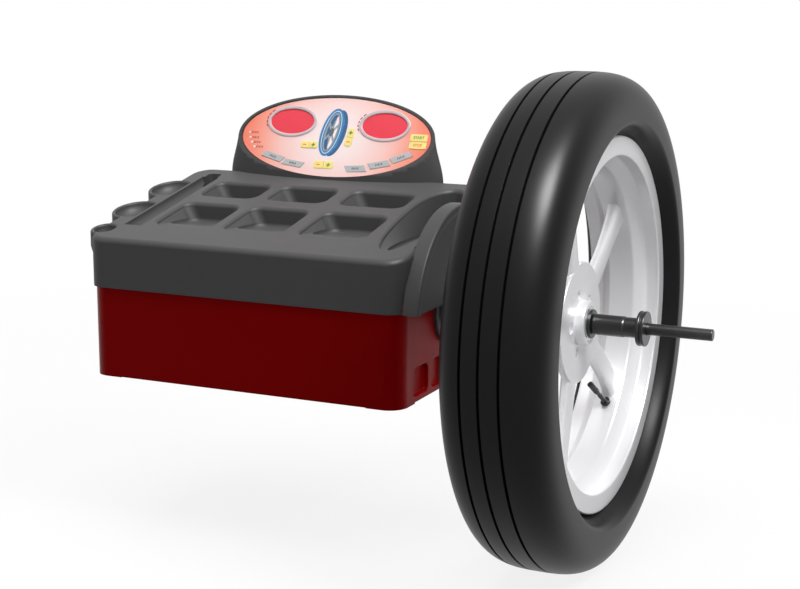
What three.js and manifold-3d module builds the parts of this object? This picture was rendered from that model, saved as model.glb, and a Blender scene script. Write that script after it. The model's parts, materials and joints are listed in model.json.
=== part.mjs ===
// Motorcycle wheel balancer for a bench: a steel cabinet under a moulded tray and console,
// a spindle on two ball bearings that reaches out of the right side, and the wheel clamped on it.
// Millimetres, +Z up. The origin is the middle of the cabinet's underside, +X runs along the
// spindle towards the wheel, and the operator stands on the -Y side.
import * as THREE from "three";
import { mergeVertices } from "three/addons/utils/BufferGeometryUtils.js";
import Module from "manifold-3d";

const wasm = await Module();
wasm.setup();

// Clearances shared by many pieces.
const gap = 0.3; // between pieces that touch or slide on the real machine
const over = 2; // how far a cutting tool runs past the face that it opens
const slack = 1; // round the moving edge of a disc

// Counts of facets.
const wheelSides = 32;
const shaftSides = 16;
const bossSides = 20;
const ovalSides = 24;
const windowSides = 18;
const cupSides = 14;
const leafSides = 20;
const smallSides = 8;
const cornerSteps = 2;
const tyreSteps = 8;

// Cabinet: folded sheet steel, standing on a pan. Its edge is relieved between the corners.
const shell = { halfWidth: 220.3, halfDepth: 138, height: 122, wall: 2, corner: 24, lip: 12 };
const relief = { height: 2, pad: 45 };
const pan = { floor: 3, rim: 9, wall: 2, holeRadius: 4.5, holeInset: 38 };
const vent = { halfHeight: 18, corner: 9, height: 26, depth: 7, count: 4 };
const ventShares = { halfWidth: 0.159, pitch: 0.391, middle: 0.033 }; // of the half depth

// Cover: one moulding with the weights tray, the side cups, the spindle hood and the console.
const cover = { wall: 3, skirt: 5, frontHeight: 181, edge: 11, slopeDegrees: 12 };
const pocket = { corner: 14, lip: 4, floorRound: 4, lean: 7, ramp: 20, frontFloor: 185, backFloor: 203 };
const columnShares = { centres: [-0.534, -0.069, 0.4326], halves: [0.1907, 0.193, 0.2043] };
const rowShares = { front: -0.268, frontHalf: 0.297, back: 0.4457, backHalf: 0.199 };
const channel = { inset: 39.9, radius: 13, drop: 1 };
const channelShares = { front: -0.652, rear: 0.754, holeMiddle: 0.775 };
const toolHole = { halfWidth: 10, halfDepth: 12, corner: 5, depth: 42 };
const sideCup = { inset: 8.2, wall: 4, depth: 20, skin: 46, back: 12.7, edge: 3, floorRound: 5, sink: 0.4 };
const sideCupRadii = [19, 33, 33];
const sideCupShares = { places: [-0.768, -0.239, 0.391], foot: 0.3, belly: 0.75, bellyHeight: 0.22, brim: 0.5 };
const hood = { radius: 135, reach: 18, wall: 3, edge: 3, rim: 9, step: 2.5 };
const sideWell = { inset: 38, halfWidth: 31, floor: 180, lip: 4, lean: 13, ramp: 12 };
const sideWellShares = { widest: 0.34, behind: 0.478, ahead: 1.1 };
const post = { radius: 8, inset: 22 };

// Console: an upright oval pod on the back of the tray, cut by the inclined panel.
const pod = { x: -10.7, setBack: 8.5, halfDepth: 25, wall: 3, proud: 1, footHalfDepth: 6, footForward: 5 };
const podDrops = { foot: 143, waist: 87, seat: 55, middle: 0, top: -63 };
const podHalfWidths = { foot: 119, waist: 160, seat: 163, middle: 151, top: 149.5 };
const panel = { tiltDegrees: 65, height: 293, halfWidth: 146, halfLength: 58, thick: 3, ledge: 7, ledgeThick: 4 };
const windowShares = { halfWidth: 0.233, halfHeight: 0.3155, left: [-0.477, 0.352], right: [0.498, 0.334] };
const pane = { thick: 1.6, sink: 0.8 };
const bezel = { width: 5, height: 1.4 };
const key = { thick: 3, proud: 0.8, corner: 1.5, slant: 2.4 };
const lamp = { radius: 1.6, proud: 0.4, bar: 2, barWidth: 5 };
const lampShares = [[-0.918, 0.034], [-0.901, -0.095], [-0.873, -0.216], [-0.836, -0.328]];
const board = { thick: 1.6, drop: 4.6 };
const boardShares = { halfWidth: 0.685, low: -0.81, high: -0.017, innerBosses: [[0.08, -0.75], [-0.49, -0.38]] };
const boss = { radius: 3.5 };

// Keys on the panel: middle and half size as shares of the panel's half sizes, turn in degrees,
// and the side to which a slanted key leans.
const keyShares = {
  mode_key_left: { at: [-0.61, -0.552], half: [0.113, 0.076], turn: -15, lean: 1 },
  mode_key_right: { at: [-0.384, -0.698], half: [0.106, 0.072], turn: -8, lean: 1 },
  function_key_left: { at: [0.281, -0.75], half: [0.103, 0.079], turn: 4, lean: -1 },
  function_key_middle: { at: [0.514, -0.621], half: [0.103, 0.079], turn: 13, lean: -1 },
  function_key_right: { at: [0.723, -0.422], half: [0.099, 0.079], turn: 24, lean: -1 },
  start_key: { at: [0.866, 0.076], half: [0.086, 0.086], turn: 0, lean: 0 },
  stop_key: { at: [0.866, -0.11], half: [0.086, 0.086], turn: 0, lean: 0 },
  inner_minus_key: { at: [-0.296, -0.217], half: [0.043, 0.083], turn: 0, lean: 0 },
  inner_plus_key: { at: [-0.204, -0.217], half: [0.043, 0.083], turn: 0, lean: 0 },
  outer_plus_key: { at: [0.164, 0.124], half: [0.0356, 0.107], turn: -6, lean: 0 },
  outer_minus_key: { at: [0.155, -0.103], half: [0.0356, 0.107], turn: -6, lean: 0 },
  width_minus_key: { at: [-0.112, -0.7], half: [0.0507, 0.09], turn: 0, lean: 0 },
  width_plus_key: { at: [-0.0055, -0.7], half: [0.0507, 0.09], turn: 0, lean: 0 },
};

// Spindle line. Every turned piece is written as places along X and radii.
const spindle = { height: 99, seat: 15, collar: 18, pin: 7, tail: 168.4, rear: 8, chamfer: 2 };
const bearing = { outer: 31, inner: 15, width: 16, inset: 40.3, spacing: 118, balls: 7, ball: 3.4 };
const raceShares = { land: 0.3375, dip: 0.17, width: 0.225, cage: 0.0938 };
const housing = { radius: 40, stop: 4, footHalf: 17, footDrop: 56, padY: 45, padHalf: 16 };
const sealRing = { radius: 40, thick: 6, hole: 29, spigot: 27 };
const flexure = { halfWidth: 17, head: 9, headHalf: 8, web: 1 };
const frameBed = { thick: 9, front: 30, margin: 16, wall: 10, wallTop: 120, ribHeight: 24, ribDepth: 12 };
const frameWindow = { halfWidth: 28, low: 20, high: 22 };
const sensor = { radius: 11, capRadius: 7, cap: 3 };
const bigPulley = { behind: 38, radius: 44, width: 15, flange: 2.5, flangeWidth: 2, hub: 7, web: 2.5, rim: 8 };
const smallPulley = { radius: 14 };
const belt = { thick: 2, width: 9, steps: 22 };
const motor = { inset: 10, z: 58, radius: 36, length: 104, behind: 16, shaft: 5, boss: 14, bossLength: 5 };
const motorCan = { chamfer: 6, nose: 3.6, footHalf: 30, footInset: 12, footThick: 6, webHalf: 15, webInset: 16 };
const encoder = { behind: 28, radius: 34, thick: 2, hub: 18, hubLength: 9, slots: 12, slotDepth: 5, slotHalf: 1.2 };
const reader = { half: 7, height: 26, arm: 6, reach: 16, footHalf: 14, footDepth: 12, footThick: 3, overlap: 8 };

// Mains parts on the back wall.
const inlet = { inset: 70.3, z: 44, halfWidth: 24, halfHeight: 31, flange: 3, depth: 34, corner: 3 };
const inletBody = { halfWidth: 14, halfHeight: 25 };
const socket = { halfWidth: 11.5, halfHeight: 8, depth: 22, drop: 11, pin: 2, pinLength: 16.5 };
const rocker = { lift: 12, halfWidth: 8.5, halfHeight: 9.5, depth: 6, swingDegrees: 7, bayDepth: 9, sink: 2 };
const transformer = { inset: 90.3, y: 30, coreHalf: [36, 28], core: 62, coilHalf: [24, 40], coil: 40, lift: 11 };

// Clamping set: two cones, a spacer sleeve and a nut.
const cone = { narrow: 11, mouth: 15, depth: 14, bore: 7.4, flange: 4, flangeRadius: 17.5, backRadius: 20, back: 28 };
const sleeve = { wide: 12.5, narrow: 11.9, length: 56, round: 3, stepAt: 38 };
const nut = { radius: 21, width: 9.4, groove: 2, grooveHalf: 1.2, edge: 1 };

// Wheel: a 17 inch cast rim and its tyre. Places run from the middle of the rim.
const wheel = { reach: 170.3, phaseDegrees: 36, spokes: 5 };
const rim = { halfWidth: 46, flange: 226.5, flangeWidth: 7, flangeHeight: 12.5, well: 19, skin: 6, lipWidth: 24,
  wellHalf: 13, wellRamp: 25, chamfer: 3 };
const tyre = { halfWidth: 63.5, section: 74.2, wall: 9, crown: 13, bead: 14, power: 3.2, heel: 10, bulge: 6 };
const tyreShares = { widest: 0.257, shoulder: 0.58, shoulderDrop: 0.095, inner: 0.19 };
const grooves = { shares: [-0.4394, -0.0992, 0.2646], width: 3.4, depth: 4.5 };
const hub = { disc: 74, discFace: 7.2, discThick: 9, boss: 27, bossFace: 18.7, barrel: 34, rear: -32, bore: 21,
  shaftHole: 12, step: 6 };
const hubHole = { circle: 37, radius: 6.5 };
const spokeHalf = { root: 17, waist: 15, tip: 18.5, ridge: 3.5 };
const spokeFace = { root: 7.2, waist: 8.2, tip: 8.7, fall: 5, rootDepth: 14, tipDepth: 18, start: 54, waistAt: 120 };
const wheelBearing = { outer: 20.7, width: 12, clear: 0.4 };
const valve = { radius: 3.2, cap: 3.9, stem: 26, capLength: 19, collar: 6.5, collarHeight: 4, leanDegrees: 17,
  behindDegrees: 9, x: 1 };

const degrees = Math.PI / 180;
const slope = Math.tan(cover.slopeDegrees * degrees);
const acrossX = (share) => share * shell.halfWidth;
const acrossY = (share) => share * shell.halfDepth;
const coverHalfWidth = shell.halfWidth + gap + cover.wall;
const coverHalfDepth = shell.halfDepth + gap + cover.wall;
const coverBottom = shell.height - cover.skirt;
const trayHeight = (y) => cover.frontHeight + slope * (y + coverHalfDepth);
const podY = shell.halfDepth + pod.setBack;
const frontBearing = shell.halfWidth - bearing.inset;
const rearBearing = frontBearing - bearing.spacing;
const bearingPlaces = { rear: rearBearing, front: frontBearing };
const pulleyX = rearBearing - bigPulley.behind;
const encoderX = pulleyX - encoder.behind;
const wheelMiddle = shell.halfWidth + wheel.reach;
const bedTop = pan.floor + gap + frameBed.thick;
const footBottom = spindle.height - housing.footDrop;
const motorY = shell.halfDepth - motor.inset - motor.radius;

// A closed mesh as a manifold solid, turned right way out if its faces point inwards.
function solid(geometry) {
  const bare = new THREE.BufferGeometry();
  bare.setAttribute("position", geometry.getAttribute("position"));
  if (geometry.index) bare.setIndex(geometry.index);
  const merged = mergeVertices(bare, 1e-4 * gap);
  const triangles = new Uint32Array(merged.index.array);
  const vertProperties = new Float32Array(merged.attributes.position.array);
  const build = () =>
    new wasm.Manifold(new wasm.Mesh({ numProp: 3, vertProperties, triVerts: triangles }));
  const made = build();
  if (made.volume() > 0) return made;
  for (let i = 0; i < triangles.length; i += 3) {
    const first = triangles[i];
    triangles[i] = triangles[i + 1];
    triangles[i + 1] = first;
  }
  return build();
}

function geometryOf(manifold) {
  const mesh = manifold.getMesh();
  const places = new Float32Array(mesh.numVert * 3);
  for (let i = 0; i < mesh.numVert; i++)
    places.set(mesh.vertProperties.subarray(i * mesh.numProp, i * mesh.numProp + 3), i * 3);
  const geometry = new THREE.BufferGeometry();
  geometry.setAttribute("position", new THREE.BufferAttribute(places, 3));
  geometry.setIndex(new THREE.BufferAttribute(mesh.triVerts, 1));
  return geometry.toNonIndexed();
}

const join = (...solids) => solids.reduce((a, b) => a.add(b));
const cut = (base, ...tools) => tools.reduce((a, b) => a.subtract(b), base);
const keep = (base, ...tools) => tools.reduce((a, b) => a.intersect(b), base);
const times = (count, make) => Array.from({ length: count }, (_, i) => make(i));
const around = (count, made) => times(count, (i) => made.rotate([(360 * i) / count, 0, 0]));

// The skin between rings of equal counts of points, closed by a fan at each end or ring to ring.
function skin(rings, looped = false, tips = null) {
  const count = rings[0].length;
  const points = rings.flat();
  const faces = [];
  const last = looped ? rings.length : rings.length - 1;
  for (let k = 0; k < last; k++)
    for (let i = 0; i < count; i++) {
      const a = k * count + i;
      const b = k * count + ((i + 1) % count);
      const c = ((k + 1) % rings.length) * count + i;
      const d = ((k + 1) % rings.length) * count + ((i + 1) % count);
      faces.push(a, b, d, a, d, c);
    }
  if (!looped)
    [0, rings.length - 1].forEach((k, end) => {
      const middle = new THREE.Vector3();
      rings[k].forEach((p) => middle.add(p));
      points.push(tips ? tips[end] : middle.divideScalar(count));
      for (let i = 0; i < count; i++) {
        const a = k * count + i;
        const b = k * count + ((i + 1) % count);
        faces.push(...(end ? [a, b, points.length - 1] : [b, a, points.length - 1]));
      }
    });
  const geometry = new THREE.BufferGeometry().setFromPoints(points);
  geometry.setIndex(faces);
  return solid(geometry);
}

// A solid of revolution about X from [x, radius] points. A profile that starts and ends at
// radius 0 is closed by its own tips, and any other is a ring.
function turned(profile, sides = shaftSides) {
  const solidEnds = profile[0][1] === 0 && profile.at(-1)[1] === 0;
  const used = solidEnds ? profile.slice(1, -1) : profile;
  const rings = used.map(([x, r]) =>
    times(sides, (i) => {
      const angle = (2 * Math.PI * i) / sides;
      return new THREE.Vector3(x, r * Math.cos(angle), r * Math.sin(angle));
    }),
  );
  const tips = [profile[0], profile.at(-1)].map(([x]) => new THREE.Vector3(x, 0, 0));
  return skin(rings, !solidEnds, solidEnds ? tips : null);
}

const rod = (x0, x1, r, sides) => turned([[x0, 0], [x0, r], [x1, r], [x1, 0]], sides);
const ringOf = (x0, x1, r0, r1, sides) => turned([[x0, r0], [x0, r1], [x1, r1], [x1, r0]], sides);

// Outlines: lists of [x, y], anticlockwise.
function roundedOutline(halfX, halfY, corner, steps = cornerSteps) {
  const quarters = [[1, 1, 0], [-1, 1, 90], [-1, -1, 180], [1, -1, 270]];
  return quarters.flatMap(([sx, sy, start]) =>
    times(steps + 1, (i) => {
      const angle = (start + (90 * i) / steps) * degrees;
      const x = sx * (halfX - corner) + corner * Math.cos(angle);
      return [x, sy * (halfY - corner) + corner * Math.sin(angle)];
    }),
  );
}

function ovalOutline(halfX, halfY, sides = ovalSides) {
  return times(sides, (i) => {
    const angle = (2 * Math.PI * i) / sides;
    return [halfX * Math.cos(angle), halfY * Math.sin(angle)];
  });
}

const circle = (radius, sides) => ovalOutline(radius, radius, sides);

// Stands outlines on each other: each level is [outline, height], where height is a number or a
// function of a point's y, and all are moved to (x, y).
function stacked(levels, x = 0, y = 0) {
  const rings = levels.map(([outline, height]) =>
    outline.map(([px, py]) => {
      const z = typeof height === "function" ? height(py + y) : height;
      return new THREE.Vector3(px + x, py + y, z);
    }),
  );
  return skin(rings);
}

const plate = (outline, z0, z1, x = 0, y = 0) => stacked([[outline, z0], [outline, z1]], x, y);

function box(x0, x1, y0, y1, z0, z1) {
  const made = solid(new THREE.BoxGeometry(x1 - x0, y1 - y0, z1 - z0));
  return made.translate([(x0 + x1) / 2, (y0 + y1) / 2, (z0 + z1) / 2]);
}

// Two levels that round an upper edge inwards under a height function.
const roundedTop = (outlineAt, heightAt, radius) => [
  [outlineAt(0), (y) => heightAt(y) - radius],
  [outlineAt(-radius * (1 - Math.SQRT1_2)), (y) => heightAt(y) - radius * (1 - Math.SQRT1_2)],
  [outlineAt(-radius), heightAt],
];

// The cover.
// A hollow's outline, moved in at the sides, the front and the back, and out all round.
function squareHollow({ halfX, halfY, corner }, side, front, back, out = 0) {
  const half = halfY + out - (front + back) / 2;
  const outline = roundedOutline(halfX - side + out, half, corner + out);
  return outline.map(([px, py]) => [px, py + (front - back) / 2]);
}

// The same for a leaf, which is short behind its widest place and long ahead of it.
function leafHollow({ halfX, behind, ahead }, side, front, back, out = 0) {
  return circle(1, leafSides).map(([px, py]) => [
    px * (halfX - side + out),
    py * (py > 0 ? behind - back + out : ahead - front + out),
  ]);
}

// A tray pocket: upright at the back, leaning at the sides, and a ramp towards the front.
function pocketTool(plan) {
  const { x, y, outline, floor, lip, lean, ramp } = plan;
  const round = pocket.floorRound;
  const levels = [
    [outline(plan, lean + round, ramp + round, round), floor],
    [outline(plan, lean, ramp, 0), floor + round],
    [outline(plan, 0, 0, 0), (py) => trayHeight(py) - lip],
    [outline(plan, 0, 0, 0, lip + cover.wall), (py) => trayHeight(py) + cover.wall],
  ];
  return stacked(levels, x, y);
}

// The tub of moulded wall round a pocket.
function pocketTub(plan) {
  const { x, y, outline, floor, lip, lean, ramp } = plan;
  const { wall } = cover;
  const mouth = outline(plan, 0, 0, 0, wall);
  const levels = [
    [outline(plan, lean, ramp, 0, wall), floor - wall],
    [mouth, (py) => trayHeight(py) - lip - wall],
    [mouth, trayHeight],
  ];
  return stacked(levels, x, y);
}

function pocketPlans() {
  const rows = [
    [rowShares.front, rowShares.frontHalf, pocket.frontFloor],
    [rowShares.back, rowShares.backHalf, pocket.backFloor],
  ];
  return rows.flatMap(([middle, half, floor]) =>
    columnShares.centres.map((share, i) => ({
      ...pocket,
      outline: squareHollow,
      x: acrossX(share),
      y: acrossY(middle),
      halfX: acrossX(columnShares.halves[i]),
      halfY: acrossY(half),
      floor,
    })),
  );
}

const sideWellPlan = () => ({
  ...sideWell,
  outline: leafHollow,
  x: coverHalfWidth - sideWell.inset,
  y: acrossY(sideWellShares.widest),
  halfX: sideWell.halfWidth,
  behind: acrossY(sideWellShares.behind),
  ahead: acrossY(sideWellShares.ahead),
});

// The long round-bottomed channel for pliers, parallel to the sloping tray.
const channelX = channel.inset - coverHalfWidth;

function channelTool(wall = 0) {
  const ends = [acrossY(channelShares.front) - wall, acrossY(channelShares.rear) + wall];
  const rings = ends.map((y) =>
    circle(channel.radius + wall, cupSides).map(
      ([px, pz]) => new THREE.Vector3(channelX + px, y, trayHeight(y) - channel.drop + pz),
    ),
  );
  return skin(rings);
}

function toolHoleTool(wall = 0) {
  const { halfWidth, halfDepth, corner, depth } = toolHole;
  const y = acrossY(channelShares.holeMiddle);
  const outline = roundedOutline(halfWidth + wall, halfDepth + wall, corner + wall);
  const mouth = wall ? -cover.wall / 2 : cover.wall;
  return stacked([[outline, trayHeight(y) - depth - wall], [outline, (py) => trayHeight(py) + mouth]], channelX, y);
}

// Half-round cups that swell out of the left side, with the rim on the slope of the tray.
const cupX = sideCup.inset - coverHalfWidth;
const cupInner = cupX + sideCup.back;
const cups = () => sideCupShares.places.map((share, i) => [acrossY(share), sideCupRadii[i]]);

function sideCupSkin([y, radius], inset = 0) {
  const at = (offset, share = 1) => circle(radius * share + offset - inset, cupSides);
  const foot = trayHeight(y) - sideCup.skin;
  const levels = [
    [at(0, sideCupShares.foot), foot + inset],
    [at(0, sideCupShares.belly), foot + sideCup.skin * sideCupShares.bellyHeight],
    [at(0), foot + sideCup.skin * sideCupShares.brim],
    ...roundedTop(at, (py) => trayHeight(py) - sideCup.sink - inset, sideCup.edge),
  ];
  return stacked(levels, cupX, y);
}

function sideCupTool([y, radius]) {
  const at = (offset) =>
    circle(radius - sideCup.wall + offset, cupSides).map(([px, py]) => [Math.min(px, sideCup.back), py]);
  const floor = trayHeight(y) - sideCup.depth;
  const levels = [
    [at(-sideCup.floorRound), floor],
    [at(0), floor + sideCup.floorRound],
    [at(0), (py) => trayHeight(py) + cover.wall],
  ];
  return stacked(levels, cupX, y);
}

// The wall behind a side cup, which also gives the cup its floor.
function cupBack([y, radius]) {
  const floor = trayHeight(y) - sideCup.depth - cover.wall;
  return box(cupX - radius, cupInner + cover.wall, y - radius, y + radius, floor, trayHeight(y + radius));
}

// The round hood over the spindle, standing off the right side with a raised rim.
function hoodBody(inset) {
  const { edge, rim: band, step } = hood;
  const base = coverHalfWidth - cover.wall - inset;
  const face = coverHalfWidth + hood.reach - inset;
  const radius = hood.radius - inset;
  const disc = turned(
    [[base, 0], [base, radius], [face - edge, radius], [face, radius - edge], [face, radius - band],
      [face - step, radius - band - step], [face - step, 0]],
    bossSides,
  ).translate([0, 0, spindle.height]);
  const low = inset ? coverBottom - over : coverBottom;
  const reach = hood.radius + over;
  return keep(disc, box(0, face + over, -reach, reach, low, spindle.height + reach));
}

// The console pod: upright ovals standing on each other, with a chin over the back of the tray.
function podBody(inset) {
  const ring = (halfWidth, halfDepth, drop, y) =>
    ovalOutline(halfWidth - inset, halfDepth - inset).map(
      ([px, py]) => new THREE.Vector3(pod.x + px, y + py, panel.height - drop),
    );
  const upper = ["waist", "seat", "middle", "top"].map((name) =>
    ring(podHalfWidths[name], pod.halfDepth, podDrops[name], podY),
  );
  const footY = shell.halfDepth - pod.footForward;
  return skin([ring(podHalfWidths.foot, pod.footHalfDepth, podDrops.foot, footY), ...upper]);
}

// Puts a solid drawn flat, with Z out of the face, onto the inclined panel.
const onPanel = (made) =>
  made.rotate([panel.tiltDegrees, 0, 0]).translate([pod.x, podY, panel.height]);

const panelOval = (offset) => ovalOutline(panel.halfWidth + offset, panel.halfLength + offset);
const panelPlace = ([u, v]) => [u * panel.halfWidth, v * panel.halfLength];

// The cover's block under the sloping tray, and that block with every face moved in.
function coverBlock(inset, low) {
  const at = (offset) => {
    const corner = shell.corner + cover.wall + offset - inset;
    return roundedOutline(coverHalfWidth + offset - inset, coverHalfDepth + offset - inset, corner, 3);
  };
  return stacked([[at(0), low], ...roundedTop(at, (y) => trayHeight(y) - inset, cover.edge - inset)]);
}

function coverBody() {
  const big = 2 * coverHalfWidth;
  const aboveFace = onPanel(box(-big, big, -big, big, pod.proud, big));
  const skins = cups().map((cup) => sideCupSkin(cup));
  return join(coverBlock(0, coverBottom), hoodBody(0), cut(podBody(0), aboveFace), ...skins);
}

function coverHollow() {
  const big = 2 * coverHalfWidth;
  const aboveLedge = onPanel(box(-big, big, -big, big, -panel.thick - panel.ledgeThick, big));
  const inner = coverBlock(cover.wall, coverBottom - over);
  return join(inner, hoodBody(hood.wall), cut(podBody(pod.wall), aboveLedge));
}

// What the tubs and posts may fill: the cover up to the middle of its sheet.
function coverCore() {
  const half = cover.wall / 2;
  return join(coverBlock(half, coverBottom), ...cups().map((cup) => sideCupSkin(cup, half)));
}

function trayCover() {
  const plans = [...pocketPlans(), sideWellPlan()];
  const backs = cups().map(cupBack);
  const tubs = [...plans.map(pocketTub), channelTool(cover.wall), toolHoleTool(cover.wall), ...backs];
  const seat = -panel.thick - gap;
  const through = -panel.thick - 3 * panel.ledgeThick;
  const mouths = [
    ...plans.map(pocketTool),
    channelTool(),
    toolHoleTool(),
    ...cups().map(sideCupTool),
    onPanel(plate(panelOval(gap), seat, 2 * panel.halfLength)),
    onPanel(plate(panelOval(-panel.ledge), through, 0)),
  ];
  const kept = keep(join(...tubs, ...coverPosts()), coverCore());
  return cut(join(cut(coverBody(), coverHollow()), kept), ...mouths);
}

// Posts that stand on the cabinet's lip and carry the cover.
function postPlaces() {
  const x = shell.halfWidth - post.inset;
  const y = shell.halfDepth - post.inset;
  return [[-x, -y], [x, -y], [x, y], [-x, y]];
}

const coverPosts = () =>
  postPlaces().map(([x, y]) =>
    plate(circle(post.radius, smallSides), shell.height + gap, trayHeight(y), x, y),
  );

// The cabinet.
function cabinetShell() {
  const at = (offset) =>
    roundedOutline(shell.halfWidth + offset, shell.halfDepth + offset, shell.corner + offset, 3);
  const top = shell.height - shell.wall;
  const room = plate(at(-shell.wall), -over, top);
  const mouth = roundedOutline(shell.halfWidth - shell.lip, shell.halfDepth - shell.lip, shell.corner);
  const walls = cut(plate(at(0), 0, shell.height), room, plate(mouth, 0, shell.height + over));
  const seats = postPlaces().map(([x, y]) =>
    plate(circle(post.radius + over, smallSides), top, shell.height, x, y),
  );
  const carried = join(walls, ...seats, ...vents(shell.wall, vent.depth + shell.wall));
  return cut(carried, ...vents(0, vent.depth), spindleHole(), inletHole(), ...reliefTools());
}

// Four drawn recesses low in the right side: their closed backs, and with no growth their mouths.
function vents(grow, deep) {
  const outline = roundedOutline(acrossY(ventShares.halfWidth) + grow, vent.halfHeight + grow, vent.corner + grow);
  const ends = [shell.halfWidth - deep, grow ? shell.halfWidth : shell.halfWidth + over];
  return ventPlaces().map((y) =>
    skin(ends.map((x) => outline.map(([a, b]) => new THREE.Vector3(x, y + a, vent.height + b)))),
  );
}

function ventPlaces() {
  const first = ventShares.middle - (ventShares.pitch * (vent.count - 1)) / 2;
  return times(vent.count, (i) => acrossY(first + i * ventShares.pitch));
}

function spindleHole() {
  const hole = rod(shell.halfWidth - 2 * shell.wall, shell.halfWidth + over, sealRing.hole);
  return keep(onSpindle(hole), box(0, 2 * shell.halfWidth, -shell.halfDepth, shell.halfDepth, 0, shell.height));
}

function inletHole() {
  const x = inletX;
  const half = inletBody.halfWidth + gap;
  const high = inletBody.halfHeight + gap;
  const y = shell.halfDepth;
  return box(x - half, x + half, y - 2 * shell.wall, y + over, inlet.z - high, inlet.z + high);
}

function reliefTools() {
  const x = shell.halfWidth;
  const y = shell.halfDepth;
  return [
    box(-x + relief.pad, x - relief.pad, -y - over, y + over, -over, relief.height),
    box(-x - over, x + over, -y + relief.pad, y - relief.pad, -over, relief.height),
  ];
}

function basePan() {
  const clear = shell.wall + gap;
  const at = (offset) =>
    roundedOutline(shell.halfWidth + offset, shell.halfDepth + offset, shell.corner + offset, 3);
  const room = plate(at(-clear - pan.wall), pan.floor, pan.rim + over);
  const first = ventPlaces()[0];
  const reach = acrossY(ventShares.halfWidth) + 2 * shell.wall;
  const ventRoom = box(
    shell.halfWidth - vent.depth - 2 * shell.wall - gap,
    shell.halfWidth,
    first - reach,
    ventPlaces().at(-1) + reach,
    pan.floor,
    pan.rim + over,
  );
  const x = shell.halfWidth - pan.holeInset;
  const y = shell.halfDepth - pan.holeInset;
  const holes = [[-x, -y], [x, -y], [x, y], [-x, y]].map(([px, py]) =>
    plate(circle(pan.holeRadius, smallSides), -over, pan.floor + over, px, py),
  );
  return cut(plate(at(-clear), 0, pan.rim), room, ventRoom, ...holes);
}

// The console's panel, with a hole for each window, lamp and key, and bosses for the board.
function consolePanel() {
  const tool = (outline, [u, v]) => plate(outline, -panel.thick - over, over, u, v);
  const holes = Object.values(windowPlaces).map((place) => tool(windowOval(0), place));
  const keys = Object.values(keyShares).map((plan) => keyShape(plan, gap, -panel.thick - over, over));
  const lamps = lampPlaces.map((place) => tool(circle(lamp.radius + gap, smallSides), place));
  const bosses = bossPlaces().map(([u, v]) =>
    plate(circle(boss.radius, smallSides), gap - board.drop, -panel.thick / 2, u, v),
  );
  return onPanel(join(cut(plate(panelOval(0), -panel.thick, 0), ...holes, ...keys, ...lamps), ...bosses));
}

const windowPlaces = { left: panelPlace(windowShares.left), right: panelPlace(windowShares.right) };
const lampPlaces = lampShares.map(panelPlace);
const windowOval = (offset) => {
  const [halfU, halfV] = panelPlace([windowShares.halfWidth, windowShares.halfHeight]);
  return ovalOutline(halfU + offset, halfV + offset, windowSides);
};

function bossPlaces() {
  const [u, v] = panelPlace([boardShares.halfWidth, boardShares.high]);
  const inset = 2 * boss.radius;
  return [[inset - u, v - boss.radius], [u - inset, v - boss.radius], ...boardShares.innerBosses.map(panelPlace)];
}

// A key's outline as a block: rounded, and slanted where the key leans.
function keyShape({ at, half, turn, lean }, grow, z0, z1) {
  const [halfU, halfV] = panelPlace(half);
  const outline = roundedOutline(halfU + grow, halfV + grow, key.corner + grow, 1).map(([px, py]) => [
    px + (lean * key.slant * py) / halfV,
    py,
  ]);
  return plate(outline, z0, z1).rotate([0, 0, turn]).translate([...panelPlace(at), 0]);
}

const panelKey = (plan) => onPanel(keyShape(plan, 0, key.proud - key.thick, key.proud));

const displayWindow = ([u, v]) =>
  onPanel(plate(windowOval(-gap), -pane.sink - pane.thick, -pane.sink, u, v));

function displayBezel([u, v]) {
  const { width, height } = bezel;
  const ring = stacked(
    [[windowOval(width), gap], [windowOval(width), gap + height / 2], [windowOval(width - height), gap + height]],
    u,
    v,
  );
  return onPanel(cut(ring, plate(windowOval(0), -over, height + over, u, v)));
}

// Four small lenses on one light bar behind the panel.
function lampStrip() {
  const lenses = lampPlaces.map(([u, v]) =>
    plate(circle(lamp.radius, smallSides), -panel.thick - lamp.bar, lamp.proud, u, v),
  );
  const bars = lampPlaces.slice(1).map(([u, v], i) => {
    const [u0, v0] = lampPlaces[i];
    const half = (Math.hypot(u - u0, v - v0) + lamp.barWidth) / 2;
    const outline = roundedOutline(half, lamp.barWidth / 2, lamp.barWidth / 3, 1);
    return plate(outline, -panel.thick - gap - lamp.bar, -panel.thick - gap)
      .rotate([0, 0, Math.atan2(v - v0, u - u0) / degrees])
      .translate([(u + u0) / 2, (v + v0) / 2, 0]);
  });
  return onPanel(join(...lenses, ...bars));
}

function controlBoard() {
  const [halfU, low] = panelPlace([boardShares.halfWidth, boardShares.low]);
  const high = panelPlace([0, boardShares.high])[1];
  const outline = roundedOutline(halfU, (high - low) / 2, boss.radius);
  const sheet = plate(outline, -board.drop - board.thick, -board.drop, 0, (high + low) / 2);
  return onPanel(keep(sheet, plate(panelOval(-panel.ledge - over), -2 * board.drop, 0)));
}

// Spindle line.
const onSpindle = (made) => made.translate([0, 0, spindle.height]);

function spindleShaft() {
  const end = encoderX - spindle.rear;
  const collarStart = rearBearing + bearing.width / 2 + gap;
  const collarEnd = frontBearing - bearing.width / 2 - gap;
  const seat = spindle.seat - gap;
  const shoulder = innerConeStart - gap;
  const tip = wheelMiddle + spindle.tail;
  return onSpindle(
    turned([
      [end, 0],
      [end, seat - spindle.chamfer],
      [end + spindle.chamfer, seat],
      [collarStart, seat],
      [collarStart, spindle.collar],
      [collarEnd, spindle.collar],
      [collarEnd, seat],
      [shoulder - spindle.chamfer, seat],
      [shoulder, seat - spindle.chamfer],
      [shoulder, spindle.pin],
      [tip - spindle.chamfer, spindle.pin],
      [tip, spindle.pin - spindle.chamfer],
      [tip, 0],
    ]),
  );
}

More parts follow.
